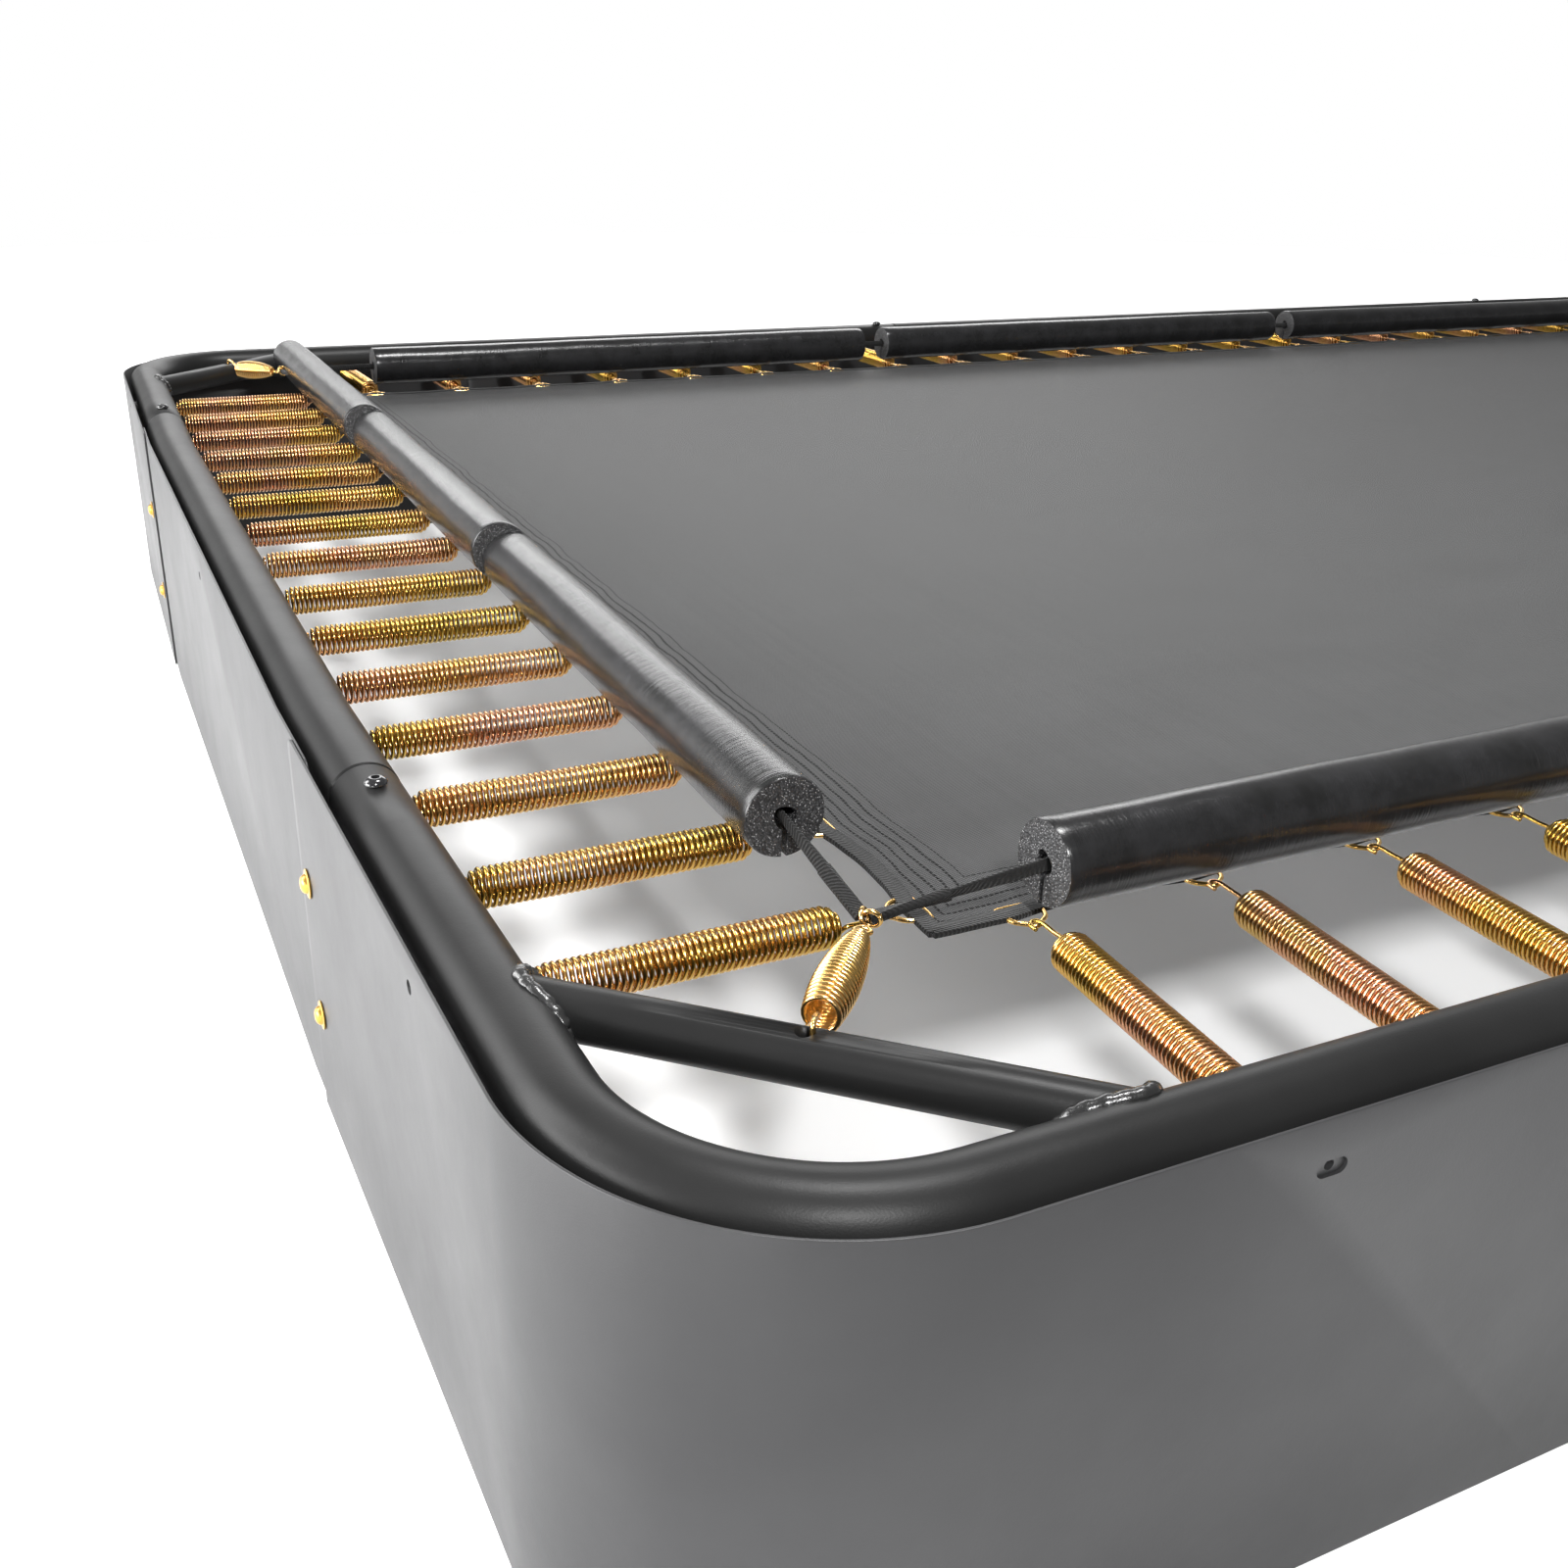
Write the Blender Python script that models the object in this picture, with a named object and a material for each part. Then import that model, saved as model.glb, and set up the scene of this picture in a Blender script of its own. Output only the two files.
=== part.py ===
"""Rectangular ground-level backyard trampoline, modelled in metres with +Z up.

Origin: centre of the footprint, on the ground. X runs along the long side,
Y along the short side. The ring of round rails stands inside a sheet-steel
skirt; springs pull the bed towards the rails; padded tubes run on straps over
the inner ends of the springs, and a corner spring keeps each strap tight.
"""
import math
import bpy
import bmesh
from mathutils import Matrix, Vector

# ---------------------------------------------------------------- dimensions
LEN_CC = 4.42            # long side, rail centre to rail centre
WID_CC = 2.36            # short side, rail centre to rail centre
RAIL_Z = 0.300           # height of the rail centres above the ground
RAIL_R = 0.0254          # straight rails, 50.8 mm outside
CORNER_R = 0.0251        # corner tubes
TUBE_WALL = 0.0020
BEND_R = 0.148           # centreline radius of the corner bends
TOE = math.radians(1.39)  # the short-side legs toe in by this much
KINK_V = 0.680           # where the short rails turn into the toed-in line
SEAM_V = 0.530           # joint of corner tube and short rail, from the corner
SEAM_U = 1.425           # joint of corner tube and long rail, from the corner
SPIGOT = 0.080           # length of the reduced rail end inside a corner tube
BOLT_BACK = 0.036        # joint bolt, measured back from the joint
BRACE_R = 0.0150
BRACE_V = 0.247          # brace axis meets the short-side line here
BRACE_U = 0.272          # ... and the long-side line here
BRACE_DZ = 0.007
HOOK_HOLE_R = 0.0055

SKIRT_TOP = RAIL_Z + 0.0160
SKIRT_T = 0.0020
SKIRT_IN = RAIL_R + 0.0081   # inner face of the straight panels, from rail centre
SEAM_PANEL = 0.625       # edge of the corner panels, from the corner
OVERLAP = 0.060          # straight panels run this far behind the corner ones
FLANGE = 0.025           # return along the ground

GAP = 0.0003             # clearance between pieces that touch
SPRING_R = 0.0125
SPRING_DZ = -0.0168      # spring axis below the rail centre
SHORT_N, SHORT_FIRST = 15, 0.2745
LONG_N, LONG_FIRST = 28, 0.3405
BED_U = 0.2765           # bed edge from the short-side rail centre
BED_V = 0.2385           # bed edge from the long-side rail centre
BED_T = 0.0016
HEM_W = 0.046
SHORT_HOOK = 0.0405      # spring tip to bed edge, short sides
LONG_HOOK = 0.0385       # ... and long sides

FOAM_R, FOAM_BORE, FOAM_SLIT = 0.0290, 0.0085, 0.0034
FOAM_DZ = SPRING_DZ + SPRING_R + GAP + FOAM_R   # the foam rests on the springs
FOAM_U = 0.2330          # foam axis from the short-side rail centre
FOAM_V = 0.2280          # foam axis from the long-side rail centre
STRAP_W, STRAP_T = 0.0120, 0.0026

# where each padded tube starts and ends, measured from one end of its side.
# The tubes slide on their straps: the short-side ones are all pushed one way.
SHORT_START, SHORT_REST, SHORT_JOINT = 0.346, 0.088, 0.006
LONG_START, LONG_END_TUBE, LONG_JOINT = 0.348, 0.880, 0.048


def short_foams():
    size = (WID_CC - SHORT_START - SHORT_REST - 2 * SHORT_JOINT) / 3
    return [(SHORT_START + k * (size + SHORT_JOINT),
             SHORT_START + k * (size + SHORT_JOINT) + size) for k in range(3)]


def long_foams():
    a, b = LONG_START + LONG_END_TUBE, LEN_CC - LONG_START - LONG_END_TUBE
    mid = LEN_CC / 2
    return [(LONG_START, a), (a + LONG_JOINT, mid - LONG_JOINT / 2),
            (mid + LONG_JOINT / 2, b - LONG_JOINT), (b, LEN_CC - LONG_START)]


# ------------------------------------------------------------------- scene
for obj in list(bpy.data.objects):
    bpy.data.objects.remove(obj, do_unlink=True)
for col in list(bpy.data.collections):
    bpy.data.collections.remove(col)
PARTS = bpy.data.collections.new("trampoline")
CUTTERS = bpy.data.collections.new("cutters")
bpy.context.scene.collection.children.link(PARTS)
bpy.context.scene.collection.children.link(CUTTERS)


def material(name, colour, rough, metal):
    mat = bpy.data.materials.new(name)
    mat.use_nodes = True
    bsdf = mat.node_tree.nodes["Principled BSDF"]
    bsdf.inputs["Base Color"].default_value = (*colour, 1.0)
    bsdf.inputs["Roughness"].default_value = rough
    bsdf.inputs["Metallic"].default_value = metal
    return mat


RAIL_COAT = material("black_powder_coat", (0.020, 0.020, 0.021), 0.38, 0.0)
SKIRT_COAT = material("skirt_powder_coat", (0.045, 0.045, 0.047), 0.42, 0.0)
BLACK_BOLT = material("blackened_steel", (0.03, 0.03, 0.03), 0.35, 1.0)
ZINC_GOLD = material("yellow_zinc", (0.72, 0.43, 0.12), 0.24, 1.0)
BED_CLOTH = material("woven_polypropylene", (0.035, 0.035, 0.037), 0.55, 0.0)
FOAM_SKIN = material("foam_with_film", (0.025, 0.025, 0.027), 0.30, 0.0)
WEBBING = material("black_webbing", (0.015, 0.015, 0.016), 0.80, 0.0)


def finish(obj, name, mat, smooth=True):
    obj.name = name
    for col in list(obj.users_collection):
        col.objects.unlink(obj)
    PARTS.objects.link(obj)
    obj.data.materials.clear()
    obj.data.materials.append(mat)
    if smooth:
        obj.data.shade_smooth()
        obj.data.set_sharp_from_angle(angle=math.radians(35))
    return obj


def evaluated_mesh(obj):
    """A plain mesh object in place of obj, modifiers applied, points welded."""
    deps = bpy.context.evaluated_depsgraph_get()
    mesh = bpy.data.meshes.new_from_object(obj.evaluated_get(deps))
    bm = bmesh.new()
    bm.from_mesh(mesh)
    bm.transform(obj.matrix_world)
    bmesh.ops.remove_doubles(bm, verts=bm.verts, dist=0.00001)
    bmesh.ops.recalc_face_normals(bm, faces=bm.faces)
    bm.to_mesh(mesh)
    bm.free()
    out = bpy.data.objects.new(obj.name + "_mesh", mesh)
    bpy.context.scene.collection.objects.link(out)
    bpy.data.objects.remove(obj, do_unlink=True)
    return out


def pipe(points, radius, sides_res=3, radii=None, caps=True, extrude=0.0):
    """A round tube along points, as a mesh object."""
    curve = bpy.data.curves.new("pipe", "CURVE")
    curve.dimensions = "3D"
    curve.resolution_u = 1
    curve.bevel_depth = radius
    curve.bevel_resolution = sides_res
    curve.extrude = extrude
    curve.use_fill_caps = caps
    curve.twist_mode = "Z_UP"
    spline = curve.splines.new("POLY")
    spline.points.add(len(points) - 1)
    for i, point in enumerate(points):
        spline.points[i].co = (*point, 1.0)
        spline.points[i].radius = 1.0 if radii is None else radii[i] / radius
    obj = bpy.data.objects.new("pipe", curve)
    bpy.context.scene.collection.objects.link(obj)
    return evaluated_mesh(obj)


def boolean(obj, other, operation):
    """Apply one exact Boolean and drop the second object."""
    mod = obj.modifiers.new("b", "BOOLEAN")
    mod.operation = operation
    mod.solver = "EXACT"
    mod.object = other
    out = evaluated_mesh(obj)
    bpy.data.objects.remove(other, do_unlink=True)
    return out


def cylinder(radius, depth, centre, axis="Z", sides=12):
    bm = bmesh.new()
    bmesh.ops.create_cone(bm, cap_ends=True, segments=sides, radius1=radius,
                          radius2=radius, depth=depth)
    turn = {"Z": Matrix.Identity(4),
            "X": Matrix.Rotation(math.pi / 2, 4, "Y"),
            "Y": Matrix.Rotation(math.pi / 2, 4, "X")}[axis]
    bm.transform(Matrix.Translation(centre) @ turn)
    mesh = bpy.data.meshes.new("cyl")
    bm.to_mesh(mesh)
    bm.free()
    obj = bpy.data.objects.new("cyl", mesh)
    bpy.context.scene.collection.objects.link(obj)
    return obj


def box(lo, hi):
    bm = bmesh.new()
    bmesh.ops.create_cube(bm, size=1.0)
    size = Vector(hi) - Vector(lo)
    bm.transform(Matrix.Translation((Vector(hi) + Vector(lo)) / 2)
                 @ Matrix.Diagonal((*size, 1.0)))
    mesh = bpy.data.meshes.new("box")
    bm.to_mesh(mesh)
    bm.free()
    obj = bpy.data.objects.new("box", mesh)
    bpy.context.scene.collection.objects.link(obj)
    return obj


def join(objects):
    """Put several closed meshes in one object, without merging them."""
    bm = bmesh.new()
    for obj in objects:
        temp = obj.data.copy()
        temp.transform(obj.matrix_world)
        bm.from_mesh(temp)
        bpy.data.meshes.remove(temp)
    mesh = bpy.data.meshes.new("joined")
    bm.to_mesh(mesh)
    bm.free()
    for obj in objects:
        bpy.data.objects.remove(obj, do_unlink=True)
    out = bpy.data.objects.new("joined", mesh)
    bpy.context.scene.collection.objects.link(out)
    return out


def turned(profile, start, end, sides=8):
    """A closed solid of revolution: (distance along the axis, radius) rings."""
    start, end = Vector(start), Vector(end)
    axis = (end - start).normalized()
    side = axis.orthogonal().normalized()
    other = axis.cross(side)
    bm = bmesh.new()
    rings = []
    for dist, radius in profile:
        ring = [bm.verts.new(start + axis * dist
                             + (side * math.cos(a) + other * math.sin(a)) * radius)
                for a in (2 * math.pi * k / sides for k in range(sides))]
        rings.append(ring)
    for low, high in zip(rings, rings[1:]):
        for k in range(sides):
            n = (k + 1) % sides
            bm.faces.new((low[k], low[n], high[n], high[k]))
    bm.faces.new(list(reversed(rings[0])))
    bm.faces.new(rings[-1])
    bmesh.ops.recalc_face_normals(bm, faces=bm.faces)
    mesh = bpy.data.meshes.new("turned")
    bm.to_mesh(mesh)
    bm.free()
    obj = bpy.data.objects.new("turned", mesh)
    bpy.context.scene.collection.objects.link(obj)
    return obj


# ------------------------------------------------------ corner-local geometry
# (u, v) are distances from the corner where the two rail centrelines cross:
# u along the long side, v along the short side; w is the height.
CORNERS = {"front_left": (-1, -1), "front_right": (1, -1),
           "rear_right": (1, 1), "rear_left": (-1, 1)}


def place(corner, u, v, w):
    sx, sy = CORNERS[corner]
    return Vector((sx * (LEN_CC / 2 - u), sy * (WID_CC / 2 - v), w))


def leg_u(v):
    """Inward shift of the short-side line at distance v from the corner."""
    return max(0.0, KINK_V - v) * math.tan(TOE)


def corner_path(offset, start_v, end_u, arc_steps=10, inset=0.0):
    """Points (u, v) along one corner, shifted outwards by offset.

    With an inset, one more point stands that far in from each end.
    """
    d1 = Vector((math.sin(TOE), -math.cos(TOE)))
    out1 = Vector((-math.cos(TOE), -math.sin(TOE)))
    base = Vector((leg_u(start_v), start_v))
    # crossing of the toed-in line with v = 0
    corner = base + d1 * (start_v / math.cos(TOE))
    turn = math.pi / 2 - TOE
    tangent = BEND_R * math.tan(turn / 2)
    arc_start = corner - d1 * tangent
    centre = arc_start - out1 * BEND_R
    pts = [base + out1 * offset]
    if inset:
        pts.append(pts[0] + d1 * inset)
    for k in range(arc_steps + 1):
        a = turn * k / arc_steps
        radial = out1 * math.cos(a) + d1 * math.sin(a)
        pts.append(centre + radial * (BEND_R + offset))
    if inset:
        pts.append(Vector((end_u - inset, -offset)))
    pts.append(Vector((end_u, -offset)))
    return pts


# --------------------------------------------------------- rails and corners
def joint_point(corner, side, back, dz=0.0):
    """A point on a corner tube's axis, a distance back from its joint."""
    if side == "short":
        v = SEAM_V - back
        return place(corner, leg_u(v), v, RAIL_Z + dz)
    return place(corner, SEAM_U - back, 0.0, RAIL_Z + dz)


def corner_solid(corner, radius):
    pts = corner_path(0.0, SEAM_V, SEAM_U)
    return pipe([place(corner, p.x, p.y, RAIL_Z) for p in pts], radius)


def standoff(base, outward, reach):
    """Welded boss between a rail and the skirt, with its screw hole."""
    start = base + outward * (RAIL_R - 0.0080)
    return turned([(0.0, 0.0062), (reach - RAIL_R + 0.0080 - GAP, 0.0062)],
                  start, start + outward, sides=10)


def boss_hole(base, outward, reach):
    start = base + outward * (RAIL_R - 0.0140)
    return turned([(0.0, 0.0030), (reach - RAIL_R + 0.0180, 0.0030)],
                  start, start + outward, sides=8)


BOSS_V, BOSS_U = 0.286, (0.341, 1.180)
BOSS_DZ = -0.006
LONG_DZ, MID_DZ = -0.014, -0.020   # screw holes below the rail centre


def corner_bosses(corner):
    sx, sy = CORNERS[corner]
    pts = []
    lean = Vector((sx * math.cos(TOE), sy * math.sin(TOE), 0.0))
    pts.append((place(corner, leg_u(BOSS_V), BOSS_V, RAIL_Z + BOSS_DZ), lean))
    for u in BOSS_U:
        pts.append((place(corner, u, 0.0, RAIL_Z + LONG_DZ),
                    Vector((0.0, sy, 0.0))))
    return pts


def hollow(obj, bore):
    return boolean(obj, bore, "DIFFERENCE")


for corner in CORNERS:
    outer = corner_solid(corner, CORNER_R)
    for base, outward in corner_bosses(corner):
        outer = boolean(outer, standoff(base, outward, SKIRT_IN), "UNION")
    pts = corner_path(0.0, SEAM_V, SEAM_U)
    # the bore runs past both ends
    ext = [pts[0] + (pts[0] - pts[1]).normalized() * 0.01] + pts[1:-1]
    ext.append(pts[-1] + Vector((0.01, 0.0)))
    bore = pipe([place(corner, p.x, p.y, RAIL_Z) for p in ext],
                CORNER_R - TUBE_WALL)
    tube = hollow(outer, bore)
    holes = [boss_hole(b, o, SKIRT_IN) for b, o in corner_bosses(corner)]
    for side in ("short", "long"):
        centre = joint_point(corner, side, BOLT_BACK, CORNER_R)
        holes.append(cylinder(0.0044, 0.016, centre, "Z", 8))
    tube = boolean(tube, join(holes), "DIFFERENCE")
    finish(tube, "corner_tube_" + corner, RAIL_COAT)


def rail(points, steps, name, bosses, bolts):
    """A straight rail with a reduced spigot at each end."""
    spig = CORNER_R - TUBE_WALL - GAP
    outer = pipe(points, RAIL_R, radii=[RAIL_R if s else spig for s in steps])
    for base, outward in bosses:
        outer = boolean(outer, standoff(base, outward, SKIRT_IN), "UNION")
    first = points[0] + (points[0] - points[1]).normalized() * 0.01
    last = points[-1] + (points[-1] - points[-2]).normalized() * 0.01
    bore = pipe([first] + points[1:-1] + [last], spig - TUBE_WALL)
    tube = hollow(outer, bore)
    holes = [cylinder(0.0044, 0.016, b + Vector((0, 0, spig)), "Z", 8)
             for b in bolts]
    holes += [boss_hole(b, o, SKIRT_IN) for b, o in bosses]
    tube = boolean(tube, join(holes), "DIFFERENCE")
    return finish(tube, name, RAIL_COAT)


for side, ends in (("left", ("front_left", "rear_left")),
                   ("right", ("front_right", "rear_right"))):
    pts, steps = [], []
    for n, corner in enumerate(ends):
        seq = [(SEAM_V - SPIGOT, 0), (SEAM_V + GAP, 0), (SEAM_V + GAP + 0.0006, 1),
               (KINK_V, 1)]
        part = [(place(corner, leg_u(v), v, RAIL_Z), s) for v, s in seq]
        if n:
            part.reverse()
        pts += [p for p, _ in part]
        steps += [s for _, s in part]
    sx = CORNERS[ends[0]][0]
    mid = Vector((sx * LEN_CC / 2, 0.0, RAIL_Z + MID_DZ))
    rail(pts, steps, "short_rail_" + side, [(mid, Vector((sx, 0, 0)))],
         [joint_point(c, "short", BOLT_BACK) for c in ends])

for side, ends in (("front", ("front_left", "front_right")),
                   ("rear", ("rear_left", "rear_right"))):
    pts, steps = [], []
    for n, corner in enumerate(ends):
        seq = [(SEAM_U - SPIGOT, 0), (SEAM_U + GAP, 0), (SEAM_U + GAP + 0.0006, 1)]
        part = [(place(corner, u, 0.0, RAIL_Z), s) for u, s in seq]
        if n:
            part.reverse()
        pts += [p for p, _ in part]
        steps += [s for _, s in part]
    sy = CORNERS[ends[0]][1]
    mid = Vector((0.0, sy * WID_CC / 2, RAIL_Z + LONG_DZ))
    rail(pts, steps, "long_rail_" + side, [(mid, Vector((0, sy, 0)))],
         [joint_point(c, "long", BOLT_BACK) for c in ends])

# button-head bolts through the joints, from above
for corner in CORNERS:
    for side in ("short", "long"):
        top = joint_point(corner, side, BOLT_BACK, CORNER_R + GAP)
        profile = [(0.0, 0.0040), (0.0110, 0.0040), (0.0110 + 0.0001, 0.0080),
                   (0.0135, 0.0078), (0.0152, 0.0060), (0.0160, 0.0030)]
        start = top - Vector((0, 0, 0.0110))
        bolt = turned(profile, start, start + Vector((0, 0, 1)), sides=12)
        finish(bolt, "joint_bolt_%s_%s" % (side, corner), BLACK_BOLT)

# diagonal braces, coped to the corner tubes and drilled for the corner spring
for corner in CORNERS:
    a = place(corner, 0.0, BRACE_V, RAIL_Z + BRACE_DZ)
    b = place(corner, BRACE_U, 0.0, RAIL_Z + BRACE_DZ)
    brace = pipe([a, b], BRACE_R)
    brace = boolean(brace, corner_solid(corner, CORNER_R + GAP), "DIFFERENCE")
    # a cut through a round tube can leave tips beyond it: keep the middle
    bm = bmesh.new()
    bm.from_mesh(brace.data)
    bm.verts.ensure_lookup_table()
    mid = (a + b) / 2
    keep = min(bm.verts, key=lambda q: (q.co - mid).length)
    seen, todo = {keep}, [keep]
    while todo:
        for edge in todo.pop().link_edges:
            for vert in edge.verts:
                if vert not in seen:
                    seen.add(vert)
                    todo.append(vert)
    bmesh.ops.delete(bm, geom=[q for q in bm.verts if q not in seen],
                     context="VERTS")
    bm.to_mesh(brace.data)
    bm.free()
    run = (b - a).normalized()
    bore = pipe([a - run * 0.02, b + run * 0.02], BRACE_R - TUBE_WALL, 2)
    brace = hollow(brace, bore)
    hook = cylinder(HOOK_HOLE_R, 0.05, mid, "Z", 10)
    brace = boolean(brace, hook, "DIFFERENCE")
    finish(brace, "corner_brace_" + corner, RAIL_COAT)


# --------------------------------------------------------------------- skirt
def panel(paths, lo, hi, name, flange_range, holes):
    """A sheet that follows a path, with a return flange along the ground."""
    inner, outer, lip = paths
    bm = bmesh.new()
    n = len(inner)
    f0, f1 = flange_range
    grid = []
    for i in range(n):
        ring = [Vector((outer[i].x, outer[i].y, lo)),
                Vector((outer[i].x, outer[i].y, hi)),
                Vector((inner[i].x, inner[i].y, hi)),
                Vector((inner[i].x, inner[i].y, lo + SKIRT_T)),
                Vector((lip[i].x, lip[i].y, lo + SKIRT_T)),
                Vector((lip[i].x, lip[i].y, lo)),
                Vector((inner[i].x, inner[i].y, lo))]
        grid.append([bm.verts.new(p) for p in ring])
    # wall bands: 0-1 outside, 1-2 top edge, 2-3 inside, 6-0 underside
    for i in range(n - 1):
        a, b = grid[i], grid[i + 1]
        flanged = f0 <= i < f1
        bands = [(0, 1), (1, 2), (2, 3), (6, 0)]
        bands += [(3, 4), (4, 5), (5, 6)] if flanged else [(3, 6)]
        for p, q in bands:
            bm.faces.new((a[p], a[q], b[q], b[p]))
    for i in (0, n - 1):
        bm.faces.new([grid[i][k] for k in (0, 1, 2, 3, 6)])
    for i in (f0, f1):
        bm.faces.new([grid[i][k] for k in (3, 4, 5, 6)])
    for vert in [v for v in bm.verts if not v.link_faces]:
        bm.verts.remove(vert)
    bmesh.ops.recalc_face_normals(bm, faces=bm.faces)
    mesh = bpy.data.meshes.new("panel")
    bm.to_mesh(mesh)
    bm.free()
    obj = bpy.data.objects.new("panel", mesh)
    bpy.context.scene.collection.objects.link(obj)
    if holes:
        obj = boolean(obj, join(holes), "DIFFERENCE")
    return finish(obj, name, SKIRT_COAT)


def slot(centre, axis):
    """A slot 19 by 10 mm, long way along the panel."""
    along = Vector((0, 1, 0)) if axis == "X" else Vector((1, 0, 0))
    pts = []
    outward = Vector((1, 0, 0)) if axis == "X" else Vector((0, 1, 0))
    bm = bmesh.new()
    for k in range(12):
        a = 2 * math.pi * k / 12
        shift = 0.0045 if math.cos(a) > 0 else -0.0045
        if abs(math.cos(a)) < 1e-6:
            shift = 0.0
        pts.append(along * (0.0050 * math.cos(a) + shift)
                   + Vector((0, 0, 0.0050 * math.sin(a))))
    low = [bm.verts.new(centre + p - outward * 0.006) for p in pts]
    high = [bm.verts.new(centre + p + outward * 0.006) for p in pts]
    for k in range(12):
        m = (k + 1) % 12
        bm.faces.new((low[k], low[m], high[m], high[k]))
    bm.faces.new(list(reversed(low)))
    bm.faces.new(high)
    bmesh.ops.recalc_face_normals(bm, faces=bm.faces)
    mesh = bpy.data.meshes.new("slot")
    bm.to_mesh(mesh)
    bm.free()
    obj = bpy.data.objects.new("slot", mesh)
    bpy.context.scene.collection.objects.link(obj)
    return obj


BOLT_HEIGHTS = (0.098, 0.210)
for corner, (sx, sy) in CORNERS.items():
    face = SKIRT_IN + SKIRT_T + GAP
    paths = []
    for off in (face, face + SKIRT_T, face - FLANGE):
        pts = corner_path(off, SEAM_PANEL, SEAM_PANEL, 12, OVERLAP + 0.004)
        paths.append([place(corner, p.x, p.y, 0.0) for p in pts])
    mid_x = sx * (LEN_CC / 2 + face)
    mid_y = sy * (WID_CC / 2 + face)
    holes = [cylinder(0.0045, 0.02, place(corner, leg_u(BOSS_V) - face, BOSS_V,
                                          RAIL_Z + BOSS_DZ), "X", 12),
             slot(place(corner, BOSS_U[0], -face, RAIL_Z + LONG_DZ), "Y")]
    for z in BOLT_HEIGHTS:
        edge = SEAM_PANEL - OVERLAP / 2
        holes.append(cylinder(0.0042, 0.02, place(corner, leg_u(edge) - face,
                                                  edge, z), "X", 8))
        holes.append(cylinder(0.0042, 0.02, place(corner, edge, -face, z), "Y", 8))
    panel(paths, 0.0, SKIRT_TOP, "corner_panel_" + corner,
          (1, len(paths[0]) - 2), holes)


def straight_panel(side, name, sign):
    """One straight skirt panel, its ends running behind the corner panels."""
    short = side == "short"
    half = (WID_CC if short else LEN_CC) / 2
    across = (LEN_CC if short else WID_CC) / 2
    ends = SEAM_PANEL - OVERLAP
    stops = [-(half - ends), -(half - SEAM_PANEL - 0.004)]
    if short:
        stops.insert(1, -(half - KINK_V) if KINK_V < SEAM_PANEL else stops[1])
        stops = [-(half - ends), -(half - SEAM_PANEL - 0.004), -(half - KINK_V)]
    stops += [-s for s in reversed(stops)]
    paths = []
    for off in (SKIRT_IN, SKIRT_IN + SKIRT_T, SKIRT_IN - FLANGE):
        pts = []
        for s in stops:
            inward = leg_u(half - abs(s)) if short else 0.0
            d = sign * (across + off - inward)
            pts.append(Vector((d, s, 0.0)) if short else Vector((s, d, 0.0)))
        paths.append(pts)
    axis = "X" if short else "Y"

    def spot(s, z, off=SKIRT_IN):
        inward = leg_u(half - abs(s)) if short else 0.0
        d = sign * (across + off - inward)
        return Vector((d, s, z)) if short else Vector((s, d, z))
    if short:
        holes = [cylinder(0.0045, 0.02, spot(0.0, RAIL_Z + MID_DZ), axis, 12)]
    else:
        holes = [slot(spot(s, RAIL_Z + LONG_DZ), axis)
                 for s in (BOSS_U[1] - half, 0.0, half - BOSS_U[1])]
    for s in (-1, 1):
        for z in BOLT_HEIGHTS:
            at = s * (half - (SEAM_PANEL - OVERLAP / 2))
            holes.append(cylinder(0.0042, 0.02, spot(at, z), axis, 8))
    panel(paths, 0.0, SKIRT_TOP, name, (1, len(stops) - 2), holes)


straight_panel("short", "skirt_panel_left", -1)
straight_panel("short", "skirt_panel_right", 1)
straight_panel("long", "skirt_panel_front", -1)
straight_panel("long", "skirt_panel_rear", 1)


# ----------------------------------------------------------------------- bed
bed_x = LEN_CC / 2 - BED_U
bed_y = WID_CC / 2 - BED_V
bed_z = RAIL_Z + SPRING_DZ
bed = box((-bed_x, -bed_y, bed_z - BED_T / 2), (bed_x, bed_y, bed_z + BED_T / 2))
finish(bed, "jumping_bed", BED_CLOTH, smooth=False)


# ------------------------------------------------------------------- springs
def spring_solid(outer, tip, hem):
    """One extension spring in outline: hook, cone, coils, cone, hook."""
    total = (tip - outer).length
    cone = 0.012
    profile = [(0.0, 0.0040), (cone, SPRING_R), (total - cone, SPRING_R),
               (total, 0.0050)]
    run = (hem - tip).length
    profile += [(total + 0.0002, 0.0024), (total + run, 0.0024)]
    return turned(profile, outer, tip, sides=6)


def spring_row(name, lay, count, first, span, edge, tip, toed=False):
    """Springs of one side with the webbing edge of the bed that carries them.

    lay(along, inward, height) gives a world point for that side.
    """
    pitch = (span - 2 * first) / (count - 1)
    z = RAIL_Z + SPRING_DZ
    springs = []
    for k in range(count):
        at = first + pitch * k
        start = RAIL_R + 0.0010 + (leg_u(min(at, span - at)) if toed else 0.0)
        springs.append(spring_solid(lay(at, start, z), lay(at, tip, z),
                                    lay(at, edge - 0.006, z)))
    top = z - BED_T / 2 - GAP
    lo, hi = lay(first - 0.012, edge - 0.014, top - 0.0018), \
        lay(span - first + 0.012, edge - 0.014 + HEM_W, top)
    strip = box([min(p, q) for p, q in zip(lo, hi)], [max(p, q) for p, q in zip(lo, hi)])
    row = boolean(strip, join(springs), "UNION")
    return finish(row, name, ZINC_GOLD)


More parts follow.
